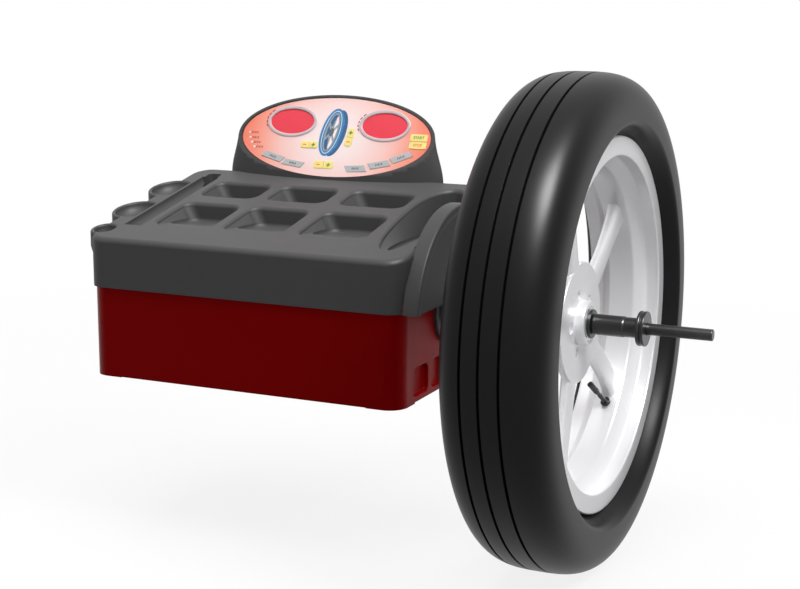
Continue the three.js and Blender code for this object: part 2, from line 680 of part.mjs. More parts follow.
// The tube that holds both bearings, with a foot over each flexure and a pad for each sensor.
function bearingHousing() {
  const half = bearing.width / 2;
  const back = rearBearing - half;
  const front = frontBearing + half;
  const { radius, stop, footHalf, footDrop, padY, padHalf } = housing;
  const places = [rearBearing, frontBearing];
  const tube = rod(back, front, radius, bossSides);
  const feet = places.map((x) => box(x - footHalf, x + footHalf, -footHalf, footHalf, -footDrop, -bearing.outer));
  const pads = places.map((x) => box(x - padHalf, x + padHalf, -padY, 0, -padHalf, padHalf));
  const bore = rod(back - over, front + over, bearing.outer - stop, bossSides);
  const seats = [
    rod(back - over, rearBearing + half + gap, bearing.outer + gap),
    rod(frontBearing - half - gap, front + over, bearing.outer + gap),
  ];
  const ends = box(back, front, -2 * radius, 2 * radius, -footDrop, radius);
  return onSpindle(cut(keep(join(tube, ...feet, ...pads), ends), bore, ...seats));
}

// Bearing rings with a groove towards the balls. Their lands come from the shares of the room.
const raceRoom = bearing.outer - bearing.inner;
const raceMiddle = (bearing.outer + bearing.inner) / 2;
const raceLand = raceRoom / 2 - raceRoom * raceShares.land;

function outerRace(x) {
  const half = bearing.width / 2;
  const land = raceMiddle + raceLand;
  const wide = raceRoom * raceShares.width;
  return onSpindle(
    turned([[x - half, land], [x - half, bearing.outer], [x + half, bearing.outer], [x + half, land],
      [x + wide, land], [x, land + raceRoom * raceShares.dip], [x - wide, land]]),
  );
}

function innerRace(x) {
  const half = bearing.width / 2;
  const land = raceMiddle - raceLand;
  const wide = raceRoom * raceShares.width;
  return onSpindle(
    turned([[x - half, bearing.inner], [x - half, land], [x - wide, land],
      [x, land - raceRoom * raceShares.dip], [x + wide, land], [x + half, land], [x + half, bearing.inner]]),
  );
}

// Balls in their cage, one body.
function ballCage(x) {
  const half = raceRoom * raceShares.cage;
  const cage = ringOf(x - half, x + half, raceMiddle - half, raceMiddle + half);
  const ball = solid(new THREE.IcosahedronGeometry(bearing.ball, 0)).translate([x, raceMiddle, 0]);
  return onSpindle(join(cage, ...around(bearing.balls, ball)));
}

function spindleSeal() {
  const inner = spindle.seat + gap;
  const face = shell.halfWidth + gap;
  const { radius, thick, spigot } = sealRing;
  return onSpindle(
    turned([[face - 2 * shell.wall, inner], [face - 2 * shell.wall, spigot], [face, spigot], [face, radius],
      [face + thick - over, radius], [face + thick, radius - over], [face + thick, inner]]),
  );
}

// Bed and side wall that carry the flexures and take the push of the force sensors.
const sensorLength = 2 * sensor.cap + sensor.radius;
const sensorWall = housing.padY + 2 * gap + sensorLength;

function supportFrame() {
  const x0 = rearBearing - housing.footHalf - frameBed.margin;
  const x1 = frontBearing + housing.footHalf - housing.stop;
  const { wall: thick, wallTop, ribDepth } = frameBed;
  const back = -sensorWall - thick;
  const floor = pan.floor + gap;
  const middle = (x0 + x1) / 2;
  const bed = box(x0, x1, back, frameBed.front, floor, bedTop);
  const wall = box(x0, x1, back, -sensorWall, floor, wallTop);
  const opening = box(
    middle - frameWindow.halfWidth,
    middle + frameWindow.halfWidth,
    back - over,
    over - sensorWall,
    bedTop + frameWindow.low,
    wallTop - frameWindow.high,
  );
  const ribs = [x0, x1 - thick].map((x) =>
    box(x, x + thick, -sensorWall - over, ribDepth - sensorWall, bedTop - over, bedTop + frameBed.ribHeight),
  );
  return join(bed, cut(wall, opening), ...ribs);
}

function forceSensor(x) {
  const { cap, capRadius, radius } = sensor;
  const length = sensorLength;
  const drum = turned([[0, 0], [0, capRadius], [cap, capRadius], [cap, radius], [length - cap, radius],
    [length - cap, capRadius], [length, capRadius], [length, 0]]);
  return drum.rotate([0, 0, 90]).translate([x, gap - sensorWall, spindle.height]);
}

// Leaf flexure: thick heads and a thin web, which lets the housing give sideways only.
function leafFlexure(x) {
  const low = bedTop + gap;
  const high = footBottom - gap;
  const { halfWidth: w, head, headHalf, web } = flexure;
  return join(
    box(x - w, x + w, -headHalf, headHalf, low, low + head),
    box(x - w, x + w, -web, web, low, high),
    box(x - w, x + w, -headHalf, headHalf, high - head, high),
  );
}

// A flat-belt pulley with flanges, ready to be bored or recessed.
function pulley(radius, bore) {
  const half = bigPulley.width / 2;
  const flange = radius + bigPulley.flange;
  const edge = half - bigPulley.flangeWidth;
  return turned(
    [[-half, bore], [-half, flange], [-edge, flange], [-edge, radius], [edge, radius], [edge, flange],
      [half, flange], [half, bore]],
    bossSides,
  ).translate([pulleyX, 0, 0]);
}

function spindlePulley() {
  const { web, rim: band, radius, width, hub: wall } = bigPulley;
  const recess = ringOf(web, width, spindle.seat + wall, radius - band);
  const both = [recess.translate([pulleyX, 0, 0]), recess.rotate([0, 0, 180]).translate([pulleyX, 0, 0])];
  return onSpindle(cut(pulley(radius, spindle.seat + gap), ...both));
}

const onMotor = (made) => made.translate([0, motorY, motor.z]);
const motorFace = pulleyX + motor.behind;

// An open belt: the outline round both pulleys, extruded by its width.
function driveBelt() {
  const far = new THREE.Vector2(motorY, motor.z - spindle.height);
  const lean = Math.atan2(far.y, far.x);
  const spread = Math.acos((bigPulley.radius - smallPulley.radius) / far.length());
  const { steps } = belt;
  const arc = (middle, radius, start, sweep, count) =>
    times(count + 1, (i) => {
      const angle = start + (sweep * i) / count;
      return new THREE.Vector2(middle.x + radius * Math.cos(angle), middle.y + radius * Math.sin(angle));
    });
  const loop = (grow) => [
    ...arc(new THREE.Vector2(), bigPulley.radius + gap + grow, lean + spread, 2 * (Math.PI - spread), steps),
    ...arc(far, smallPulley.radius + gap + grow, lean - spread, 2 * spread, steps / 2),
  ];
  const shape = new THREE.Shape(loop(belt.thick));
  shape.holes.push(new THREE.Path(loop(0)));
  const flat = new THREE.ExtrudeGeometry(shape, { depth: belt.width, bevelEnabled: false });
  flat.applyMatrix4(new THREE.Matrix4().set(0, 0, 1, 0, 1, 0, 0, 0, 0, 1, 0, 0, 0, 0, 0, 1));
  return onSpindle(solid(flat).translate([pulleyX - belt.width / 2, 0, 0]));
}

function driveMotor() {
  const { radius, length, boss: neck, bossLength } = motor;
  const { chamfer, nose, footHalf, footInset, footThick, webHalf, webInset } = motorCan;
  const x0 = motorFace;
  const x1 = motorFace + length;
  const can = turned(
    [[x0, 0], [x0, radius - nose], [x0 + chamfer, radius], [x1 - chamfer, radius], [x1, radius - nose], [x1, 0]],
    bossSides,
  );
  const front = rod(x0 - bossLength, x0 + over, neck);
  const floor = pan.floor + gap - motor.z;
  const foot = box(x0 + footInset, x1 - footInset, -footHalf, footHalf, floor, floor + footThick);
  const web = box(x0 + webInset, x1 - webInset, -webHalf, webHalf, floor + over, 0);
  return onMotor(join(can, front, foot, web));
}

function motorShaft() {
  const start = pulleyX - bigPulley.width / 2 - over;
  return onMotor(rod(start, motorFace - motor.bossLength - gap, motor.shaft));
}

// The slotted disc at the end of the spindle, which tells the wheel's angle.
function encoderDisc() {
  const bore = spindle.seat + gap;
  const { hubLength, hub: hubRadius, thick, radius, slots, slotDepth, slotHalf } = encoder;
  const disc = turned(
    [[-hubLength / 2, bore], [-hubLength / 2, hubRadius], [-thick / 2, hubRadius], [-thick / 2, radius],
      [thick / 2, radius], [thick / 2, hubRadius], [hubLength / 2, hubRadius], [hubLength / 2, bore]],
    2 * slots,
  );
  const slot = box(-thick, thick, radius - 2 * slotDepth, radius - slotDepth, -slotHalf, slotHalf);
  return onSpindle(cut(disc, ...around(slots, slot)).translate([encoderX, 0, 0]));
}

// The fork that looks through the disc's slots, on a post from the pan.
function encoderReader() {
  const top = spindle.height - encoder.radius + reader.overlap;
  const { half, arm, height, reach, footHalf, footDepth, footThick } = reader;
  const floor = pan.floor + gap;
  const clear = encoder.thick / 2 + slack;
  const body = box(-half, half, -arm, arm, top - height, top);
  const slot = box(-clear, clear, -2 * arm, 2 * arm, top - reach, top + over);
  const stem = box(-half, half, -arm, arm, floor, top - height + over);
  const foot = box(-footHalf, footHalf, -footDepth, footDepth, floor, floor + footThick);
  return join(cut(body, slot), stem, foot).translate([encoderX, 0, 0]);
}

// Mains inlet with a socket below and a bay for the rocker above.
const inletX = inlet.inset - shell.halfWidth;
const inletFace = shell.halfDepth + gap + inlet.flange;

function upright(halfWidth, halfHeight, corner, y0, y1, lift = 0) {
  const outline = roundedOutline(halfWidth, halfHeight, corner, 1);
  return skin(
    [y0, y1].map((y) => outline.map(([a, b]) => new THREE.Vector3(inletX + a, y, inlet.z + lift + b))),
  );
}

function mainsInlet() {
  const back = shell.halfDepth + gap;
  const { corner } = inlet;
  const flange = upright(inlet.halfWidth, inlet.halfHeight, corner, back, inletFace);
  const body = upright(inletBody.halfWidth, inletBody.halfHeight, corner, back - inlet.depth, back + over);
  const end = inletFace - socket.depth;
  const hole = upright(socket.halfWidth, socket.halfHeight, corner, end, inletFace + over, -socket.drop);
  const z = inlet.z - socket.drop;
  const pins = [-1, 0, 1].map((k) => {
    const x = inletX + (k * socket.halfWidth) / 2;
    const half = socket.pin / 2;
    return box(x - half, x + half, end - over, end + socket.pinLength, z - socket.pin, z + socket.pin);
  });
  const bay = upright(
    rocker.halfWidth + gap,
    rocker.halfHeight + gap,
    corner / 3,
    inletFace - rocker.bayDepth,
    inletFace + over,
    rocker.lift,
  );
  return join(cut(join(flange, body), hole, bay), ...pins);
}

// A rocker that is shallow in a V, drawn with its upper half down.
function powerRocker() {
  const rise = rocker.halfHeight * Math.tan((rocker.swingDegrees * degrees) / 2);
  const h = rocker.halfHeight - gap;
  const top = inletFace + rise / 2;
  const base = inletFace - rocker.depth;
  const outline = [[-h, top + rise], [0, top], [h, top + rise], [h - 2 * rise, base], [2 * rise - h, base]];
  const rings = [-1, 1].map((side) =>
    outline.map(([a, y]) => new THREE.Vector3(side * (rocker.halfWidth - gap), y - inletFace + rocker.sink, a)),
  );
  const place = [inletX, inletFace - rocker.sink, inlet.z + rocker.lift];
  return skin(rings).rotate([-rocker.swingDegrees, 0, 0]).translate(place);
}

function mainsTransformer() {
  const { inset, y, coreHalf, coilHalf, core, coil, lift } = transformer;
  const x = inset - shell.halfWidth;
  const base = pan.floor + gap;
  const [cx, cy] = coreHalf;
  const [wx, wy] = coilHalf;
  return join(
    box(x - cx, x + cx, y - cy, y + cy, base, base + core),
    box(x - wx, x + wx, y - wy, y + wy, base + lift, base + lift + coil),
  );
}

// Clamping set. Wheel pieces and the set are drawn from the middle of the rim.
const onWheel = (made) => made.translate([wheelMiddle, 0, spindle.height]);
const coneFace = hub.bossFace + gap;
const sleeveStart = coneFace + cone.flange + gap;
const nutStart = sleeveStart + sleeve.length + gap;
const innerConeStart = wheelMiddle + hub.rear - cone.back;

function outerCone() {
  const face = coneFace + cone.flange;
  return onWheel(
    turned([[coneFace - cone.depth, cone.bore], [coneFace - cone.depth, cone.narrow], [coneFace, cone.mouth],
      [coneFace, cone.flangeRadius], [face - slack, cone.flangeRadius], [face, cone.flangeRadius - slack],
      [face, cone.bore]]),
  );
}

function innerCone() {
  const seat = hub.rear - gap;
  return onWheel(
    turned([[hub.rear - cone.back, cone.bore], [hub.rear - cone.back, cone.backRadius],
      [seat, cone.backRadius], [seat, cone.mouth], [seat + cone.depth, cone.narrow],
      [seat + cone.depth, cone.bore]]),
  );
}

function clampSleeve() {
  const { wide, narrow, length, round, stepAt } = sleeve;
  const x = sleeveStart;
  return onWheel(
    turned([[x, cone.bore], [x, wide - round / 2], [x + round, wide], [x + stepAt, wide],
      [x + stepAt + slack, narrow], [x + length, narrow], [x + length, cone.bore]]),
  );
}

function clampNut() {
  const { radius, width, groove, grooveHalf, edge } = nut;
  const x = nutStart;
  const middle = x + width / 2;
  return onWheel(
    turned([[x, cone.bore], [x, radius - edge], [x + edge, radius], [middle - grooveHalf, radius],
      [middle, radius - groove], [middle + grooveHalf, radius], [x + width - edge, radius],
      [x + width, radius - edge], [x + width, cone.bore]]),
  );
}

// The tyre's section: a superellipse outside, its grooves, an inner wall and two beads.
const seatRadius = rim.flange - rim.flangeHeight;
const wellRadius = seatRadius - rim.well;
const tyreRadius = rim.flange + tyre.section;
const widestRadius = rim.flange + tyre.section * tyreShares.widest;

function tyreOutside() {
  const crown = tyreRadius - widestRadius;
  const arc = times(tyreSteps + 1, (i) => {
    const angle = (Math.PI * i) / tyreSteps;
    const side = Math.sign(Math.cos(angle)) * Math.abs(Math.cos(angle)) ** (2 / tyre.power);
    return [tyre.halfWidth * side, widestRadius + crown * Math.sin(angle) ** (2 / tyre.power)];
  });
  const heightAt = (x) =>
    widestRadius + crown * (1 - Math.abs(x / tyre.halfWidth) ** tyre.power) ** (1 / tyre.power);
  const places = grooves.shares.map((share) => share * tyre.halfWidth);
  const cuts = places.flatMap((x) => {
    const half = grooves.width / 2;
    return [[x + half, heightAt(x)], [x, heightAt(x) - grooves.depth], [x - half, heightAt(x)]];
  });
  const clear = arc.filter(([x]) => places.every((place) => Math.abs(x - place) > 2 * grooves.width));
  return [...clear, ...cuts].sort((a, b) => b[0] - a[0] || b[1] - a[1]);
}

function wheelTyre() {
  const seat = rim.halfWidth - rim.flangeWidth - gap;
  const heel = seatRadius + gap;
  const bead = (side) => [
    [side * (tyre.halfWidth - tyre.bulge), rim.flange + tyre.heel],
    [side * seat, rim.flange + slack],
    [side * seat, heel],
    [side * (seat - tyre.bead), heel],
  ];
  const inside = [
    [tyre.halfWidth - tyre.wall, widestRadius],
    [tyre.halfWidth * tyreShares.shoulder, tyreRadius - tyre.crown - tyre.section * tyreShares.shoulderDrop],
    [tyre.halfWidth * tyreShares.inner, tyreRadius - tyre.crown],
  ];
  const left = inside.map(([x, r]) => [-x, r]);
  const outside = tyreOutside();
  const profile = [...outside, ...bead(-1), ...left, ...inside.toReversed(), ...bead(1).toReversed()];
  return onWheel(turned(profile, wheelSides));
}

function rimBarrel() {
  const { halfWidth, flange, flangeWidth, skin: wall, wellHalf, wellRamp, chamfer, lipWidth } = rim;
  const inner = halfWidth - flangeWidth;
  const lip = flange - lipWidth;
  const side = (s) => [
    [s * wellHalf, wellRadius],
    [s * wellRamp, seatRadius],
    [s * inner, seatRadius],
    [s * inner, flange],
    [s * (halfWidth - chamfer), flange],
    [s * halfWidth, flange - chamfer],
    [s * halfWidth, lip],
    [s * wellRamp, lip + chamfer],
    [s * (wellHalf + chamfer), wellRadius - wall],
  ];
  return turned([...side(-1).toReversed(), ...side(1)], wheelSides);
}

// One spoke: eight-sided sections with a narrow ridge along each face, flared at the rim.
function wheelSpoke() {
  const section = (r, half, face, depth) => {
    const far = face - depth;
    const { fall } = spokeFace;
    const { ridge } = spokeHalf;
    return [[face, -ridge], [face, ridge], [face - fall, half], [far + fall, half], [far, ridge], [far, -ridge],
      [far + fall, -half], [face - fall, -half]].map(([x, z]) => new THREE.Vector3(x, r, z));
  };
  const { root, waist, tip, rootDepth, tipDepth, start, waistAt } = spokeFace;
  return skin([
    section(start, spokeHalf.root, root, rootDepth),
    section(hub.disc, spokeHalf.root, root, rootDepth),
    section(waistAt, spokeHalf.waist, waist, rootDepth),
    section(wellRadius - rim.skin / 2, spokeHalf.tip, tip, tipDepth),
  ]);
}

function wheelRim() {
  const { discFace, discThick, disc, rear, bossFace, boss: bossRadius, barrel, step, shaftHole, bore } = hub;
  const back = discFace - discThick;
  const core = join(
    rod(rear, bossFace, bossRadius),
    rod(back, discFace, disc, wheelSides),
    rod(rear + step, back + over, barrel),
  );
  const arms = around(wheel.spokes, wheelSpoke()).map((arm) => arm.rotate([wheel.phaseDegrees, 0, 0]));
  const hole = rod(back - over, discFace + over, hubHole.radius, smallSides)
    .translate([0, hubHole.circle, 0])
    .rotate([wheel.phaseDegrees, 0, 0]);
  const through = rod(rear - over, bossFace + over, shaftHole);
  const seats = [
    rod(bossFace - wheelBearing.width, bossFace + over, bore),
    rod(rear - over, rear + wheelBearing.width, bore),
  ];
  const body = join(rimBarrel(), core, ...arms);
  return onWheel(cut(body, through, ...seats, ...around(wheel.spokes, hole)));
}

// The wheel's own bearings, drawn as rings with a mouth that fits a cone.
function wheelBearingRing(side) {
  const seat = side > 0 ? hub.bossFace : -hub.rear;
  const { outer, width, clear } = wheelBearing;
  const inner = seat - width + gap;
  const mouth = cone.mouth + clear;
  const deep = mouth - ((cone.mouth - cone.narrow) * (seat - inner)) / cone.depth;
  const profile = [[inner, deep], [inner, outer], [seat, outer], [seat, mouth]];
  return onWheel(turned(profile.map(([x, r]) => [side * x, r])));
}

// The tyre valve: a metal stem that leans on the rim's well beside the lowest front spoke.
function tyreValve() {
  const { radius, cap, stem, capLength, collar, collarHeight, leanDegrees, behindDegrees } = valve;
  const made = turned([[0, 0], [0, collar], [collarHeight, collar], [collarHeight, radius], [stem, radius],
    [stem, cap], [stem + capLength, cap], [stem + capLength, 0]], smallSides);
  const foot = wellRadius - rim.skin - gap - collar * Math.sin(leanDegrees * degrees);
  return onWheel(
    made
      .rotate([0, 0, 90 + leanDegrees])
      .rotate([180, 0, 0])
      .translate([valve.x, foot, 0])
      .rotate([-wheel.phaseDegrees - behindDegrees, 0, 0]),
  );
}

const paints = {
  red: { color: 0x8c0a0a, roughness: 0.35, metalness: 0 },
  grey: { color: 0x4c4c4d, roughness: 0.55, metalness: 0 },
  salmon: { color: 0xf6b3a2, roughness: 0.4, metalness: 0 },
  lens: { color: 0xee4258, roughness: 0.15, metalness: 0 },
  bezelGrey: { color: 0x9b8d92, roughness: 0.4, metalness: 0 },
  yellow: { color: 0xf8e27c, roughness: 0.4, metalness: 0 },
  keyGrey: { color: 0xaeb4b8, roughness: 0.4, metalness: 0 },
  board: { color: 0x1f5c3a, roughness: 0.5, metalness: 0 },
  clear: { color: 0xf4f4f0, roughness: 0.2, metalness: 0 },
  zinc: { color: 0xb9bcbf, roughness: 0.4, metalness: 0.9 },
  steel: { color: 0x9fa3a6, roughness: 0.25, metalness: 1 },
  dark: { color: 0x26272a, roughness: 0.35, metalness: 0.8 },
  cast: { color: 0x5b6064, roughness: 0.6, metalness: 0.6 },
  copper: { color: 0x7a4a2a, roughness: 0.5, metalness: 0.3 },
  black: { color: 0x1b1b1c, roughness: 0.5, metalness: 0 },
  rubber: { color: 0x232324, roughness: 0.7, metalness: 0 },
  alloy: { color: 0xdfe1e3, roughness: 0.2, metalness: 0.8 },
};

const group = new THREE.Group();

function add(name, made, paint) {
  const mesh = new THREE.Mesh(geometryOf(made), new THREE.MeshStandardMaterial(paints[paint]));
  mesh.name = name;
  group.add(mesh);
}

add("base_pan", basePan(), "red");
add("cabinet_shell", cabinetShell(), "red");
add("tray_cover", trayCover(), "grey");
add("console_panel", consolePanel(), "salmon");
for (const [side, place] of Object.entries(windowPlaces)) {
  add("display_window_" + side, displayWindow(place), "lens");
  add("display_bezel_" + side, displayBezel(place), "bezelGrey");
}
add("lamp_strip", lampStrip(), "clear");
add("control_board", controlBoard(), "board");
for (const [name, plan] of Object.entries(keyShares))
  add(name, panelKey(plan), /mode|function/.test(name) ? "keyGrey" : "yellow");
add("spindle", spindleShaft(), "dark");
add("bearing_housing", bearingHousing(), "cast");
for (const [end, x] of Object.entries(bearingPlaces)) {
  add(end + "_bearing_outer_ring", outerRace(x), "steel");
  add(end + "_bearing_ball_cage", ballCage(x), "steel");
  add(end + "_bearing_inner_ring", innerRace(x), "steel");
  add(end + "_leaf_flexure", leafFlexure(x), "zinc");
  add(end + "_force_sensor", forceSensor(x), "steel");
}
add("spindle_seal_ring", spindleSeal(), "black");
add("support_frame", supportFrame(), "cast");
add("spindle_pulley", spindlePulley(), "alloy");
add("motor_pulley", onMotor(pulley(smallPulley.radius, motor.shaft + gap)), "alloy");
add("motor_shaft", motorShaft(), "steel");
add("drive_belt", driveBelt(), "rubber");
add("drive_motor", driveMotor(), "dark");
add("encoder_disc", encoderDisc(), "black");
add("encoder_reader", encoderReader(), "black");
add("mains_inlet", mainsInlet(), "black");
add("power_rocker", powerRocker(), "black");
add("mains_transformer", mainsTransformer(), "copper");
add("inner_cone", innerCone(), "dark");
add("outer_cone", outerCone(), "dark");
add("clamp_sleeve", clampSleeve(), "dark");
add("clamp_nut", clampNut(), "dark");
add("wheel_rim", wheelRim(), "alloy");
add("wheel_bearing_inner", wheelBearingRing(-1), "steel");
add("wheel_bearing_outer", wheelBearingRing(1), "steel");
add("tyre_valve", tyreValve(), "steel");
add("tyre", wheelTyre(), "rubber");

export default group;
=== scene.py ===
# %% [markdown]
# # A bench balancer for motorcycle wheels
# This lesson dresses a finished engineering model. The model gives every part at its real size and
# says what moves, so nothing is fitted by eye: each surface that is made here takes its place from
# the same dimensions, and stands for one of the model's parts or is a film of ink on one.

# %% Load the frame
import json
import math

import bmesh
import bpy
import numpy as np
from mathutils import Matrix, Vector


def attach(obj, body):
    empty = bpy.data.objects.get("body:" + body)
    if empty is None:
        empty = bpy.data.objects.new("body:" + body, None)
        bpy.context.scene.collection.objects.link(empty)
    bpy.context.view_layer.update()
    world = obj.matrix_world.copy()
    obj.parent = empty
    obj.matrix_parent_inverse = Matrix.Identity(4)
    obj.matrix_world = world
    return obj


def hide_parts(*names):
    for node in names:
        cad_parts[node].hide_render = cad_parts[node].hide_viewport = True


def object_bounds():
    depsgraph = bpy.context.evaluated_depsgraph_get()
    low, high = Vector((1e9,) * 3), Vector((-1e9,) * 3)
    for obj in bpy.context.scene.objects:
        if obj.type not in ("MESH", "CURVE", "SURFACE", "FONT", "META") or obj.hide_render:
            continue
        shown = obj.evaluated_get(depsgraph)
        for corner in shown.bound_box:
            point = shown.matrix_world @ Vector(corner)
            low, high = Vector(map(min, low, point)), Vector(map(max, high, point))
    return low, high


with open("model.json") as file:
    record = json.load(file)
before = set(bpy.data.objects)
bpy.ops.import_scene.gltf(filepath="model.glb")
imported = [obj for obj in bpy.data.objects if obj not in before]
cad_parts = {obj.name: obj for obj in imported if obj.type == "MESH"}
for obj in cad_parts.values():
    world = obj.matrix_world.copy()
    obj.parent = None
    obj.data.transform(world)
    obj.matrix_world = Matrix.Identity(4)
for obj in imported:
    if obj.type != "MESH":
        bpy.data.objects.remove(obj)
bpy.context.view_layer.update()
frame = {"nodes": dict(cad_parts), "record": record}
nodes = frame["nodes"]
MM = 0.001
print("parts in the frame:", len(nodes))

# %% [markdown]
# ## Camera
# The camera repeats the photograph's view: it stands to the right of the front, a little above the
# spindle. Its place was solved from the wheel's outline, so a part drawn at its real size lands where
# the photograph shows it.

# %% Camera
CAMERA_AZIMUTH = math.radians(24.77)
CAMERA_ELEVATION = math.radians(11.09)
CAMERA_ROLL = math.radians(0.21)
CAMERA_PLACE = Vector((977.8, -1779.1, 497.2)) * MM
IMAGE_WIDTH_PX = 800
FOCAL_PX = 1574.56
SENSOR_MM = 36.0
CLIP_END = 50


def show(name, data):
    """A new object in the scene that shows the data."""
    made = bpy.data.objects.new(name, data)
    bpy.context.scene.collection.objects.link(made)
    return made


def camera_axes(azimuth, elevation, roll):
    """Right, up and back of a camera that looks inwards from an azimuth and an elevation."""
    level = Vector((math.cos(azimuth), math.sin(azimuth), 0))
    back = Vector((
        math.sin(azimuth) * math.cos(elevation),
        -math.cos(azimuth) * math.cos(elevation),
        math.sin(elevation),
    ))
    rise = back.cross(level)
    right = math.cos(roll) * level + math.sin(roll) * rise
    return right, back.cross(right), back


right, up, back = camera_axes(CAMERA_AZIMUTH, CAMERA_ELEVATION, CAMERA_ROLL)
camera_data = bpy.data.cameras.new("camera")
camera_data.sensor_width = SENSOR_MM
camera_data.lens = FOCAL_PX / IMAGE_WIDTH_PX * SENSOR_MM
camera_data.clip_end = CLIP_END
camera = show("camera", camera_data)
camera.matrix_world = Matrix((right, up, back)).transposed().to_4x4()
camera.location = CAMERA_PLACE
bpy.context.scene.camera = camera
print("lens in mm:", round(camera_data.lens, 2))

# %% [markdown]
# ## Small tools for shapes
# Every new piece is a skin between rings of points. A ring is an outline at one height, or the
# circle that a point of a turned profile sweeps. The rings are worked out as whole numpy arrays in
# millimetres, and turned to metres only where the mesh is filled.

# %% Skins between rings


def skin(rings, looped=False):
    """Points and faces between rings of equal counts.

    Point i of ring k meets point i + 1 of its own ring and both of ring k + 1. The two end rings are
    closed by one flat face each, or the last ring meets the first one where the skin is looped.
    """
    rings = np.asarray(rings, dtype=float)
    levels, count = rings.shape[:2]
    index = np.arange(levels * count).reshape(levels, count)
    rows = np.vstack([index, index[:1]]) if looped else index
    near, far = rows[:-1], rows[1:]
    quads = np.stack([near, np.roll(near, -1, 1), np.roll(far, -1, 1), far], -1).reshape(-1, 4)
    faces = quads.tolist()
    if not looped:
        faces += [index[0, ::-1].tolist(), index[-1].tolist()]
    return rings.reshape(-1, 3), faces


def face_outwards(mesh, merge=None):
    """Turns the faces of a closed mesh outwards, after it joins points that lie closer than merge."""
    cleaner = bmesh.new()
    cleaner.from_mesh(mesh)
    if merge:
        bmesh.ops.remove_doubles(cleaner, verts=cleaner.verts, dist=merge)
    bmesh.ops.recalc_face_normals(cleaner, faces=cleaner.faces)
    cleaner.to_mesh(mesh)
    cleaner.free()


def solid(form, name="form"):
    """A smooth object from a surface, which is points in mm and their faces. An object stays as it is."""
    if isinstance(form, bpy.types.Object):
        return form
    points, faces = form
    mesh = bpy.data.meshes.new(name)
    mesh.from_pydata((points * MM).tolist(), [], faces)
    face_outwards(mesh)
    mesh.shade_smooth()
    return show(name, mesh)


def combine(base, operation, *tools):
    """Joins, cuts or meets a base with other forms, and leaves only the result as an object."""
    base, *tools = map(solid, (base, *tools))
    for tool in tools:
        step = base.modifiers.new("combine", "BOOLEAN")
        step.operation = operation
        step.solver = "MANIFOLD"
        step.object = tool
    graph = bpy.context.evaluated_depsgraph_get()
    made = bpy.data.meshes.new_from_object(base.evaluated_get(graph))
    base.modifiers.clear()
    base.data = made
    for tool in tools:
        bpy.data.objects.remove(tool)
    return base


def even_shading(piece, sharp=30):
    """Smooth shading that stays flat on large flat faces, and breaks at edges over sharp degrees."""
    piece.data.shade_smooth()
    piece.data.set_sharp_from_angle(angle=math.radians(sharp))
    weighted = piece.modifiers.new("even_shading", "WEIGHTED_NORMAL")
    weighted.keep_sharp = True
    return piece


print("shape tools ready")

# %% Outlines and turned profiles


def rounded_rectangle(half_x, half_y, corner, steps=10):
    """An anticlockwise outline: four quarter circles of radius corner, joined by straight sides.

    Four different radii are given as a column, from the corner at the upper right on.
    """
    angle = np.radians(np.add.outer([0, 90, 180, 270], np.linspace(0, 90, steps + 1)))
    signs = np.array([[1, 1], [-1, 1], [-1, -1], [1, -1]])
    x = signs[:, :1] * (half_x - corner) + corner * np.cos(angle)
    y = signs[:, 1:] * (half_y - corner) + corner * np.sin(angle)
    return np.stack([x.ravel(), y.ravel()], -1)


def oval(half_x, half_y, count=96):
    """An ellipse: half_x times the cosine and half_y times the sine of a full turn."""
    angle = np.linspace(0, 2 * np.pi, count, endpoint=False)
    return np.stack([half_x * np.cos(angle), half_y * np.sin(angle)], -1)


def arc(radius, angles):
    """Pairs along a quarter circle: the radius times 1 less the cosine, and times 1 less the sine."""
    return [(radius * (1 - np.cos(t)), radius * (1 - np.sin(t))) for t in angles]


def stacked(levels, x=0.0, y=0.0):
    """A skin through outlines at heights, where a height may be a function of a point's y."""
    rings = []
    for outline, height in levels:
        place = outline + [x, y]
        z = height(place[:, 1]) if callable(height) else np.full(len(place), float(height))
        rings.append(np.column_stack([place, z]))
    return skin(rings)


def rounded_profile(profile, radius, steps=4):
    """A profile with each inner corner replaced by a short curve.

    The curve is the parabola that starts and ends at radius from the corner, or at 0.45 of the
    shorter side, and has the corner as its middle handle.
    """
    profile = np.asarray(profile, dtype=float)
    out = [profile[:1]]
    t = np.linspace(0, 1, steps + 1)[:, None]
    for before, corner, after in zip(profile[:-2], profile[1:-1], profile[2:]):
        to_before, to_after = before - corner, after - corner
        reach = min(radius, 0.45 * np.hypot(*to_before), 0.45 * np.hypot(*to_after))
        start = corner + to_before / np.hypot(*to_before) * reach
        end = corner + to_after / np.hypot(*to_after) * reach
        out.append((1 - t) ** 2 * start + 2 * t * (1 - t) * corner + t ** 2 * end)
    out.append(profile[-1:])
    return np.vstack(out)


def turned(profile, at=(0.0, 0.0, 0.0), sides=96, looped=True):
    """A surface of revolution about X through a place.

    Each profile point (x, radius) sweeps the circle (x, radius times cosine, radius times sine).
    """
    profile = np.asarray(profile, dtype=float)
    angle = np.linspace(0, 2 * np.pi, sides, endpoint=False)
    rings = np.stack([
        np.repeat(profile[:, :1], sides, 1),
        np.outer(profile[:, 1], np.cos(angle)),
        np.outer(profile[:, 1], np.sin(angle)),
    ], -1)
    return skin(rings + np.asarray(at), looped)


TINY = 0.02  # mm, the radius at which a turned solid's end is closed


def solid_of(profile, at=(0.0, 0.0, 0.0), sides=96, round_mm=0.8):
    """A turned solid: the profile runs from the axis to the axis, with rounded corners."""
    ends = np.asarray(profile, dtype=float)
    ends[[0, -1], 1] = TINY
    return turned(rounded_profile(ends, round_mm), at, sides, looped=False)


def drum(start, end, radius, at, sides=96, round_mm=0.1):
    """A turned cylinder from start to end."""
    return solid_of([(start, 0), (start, radius), (end, radius), (end, 0)], at, sides, round_mm)


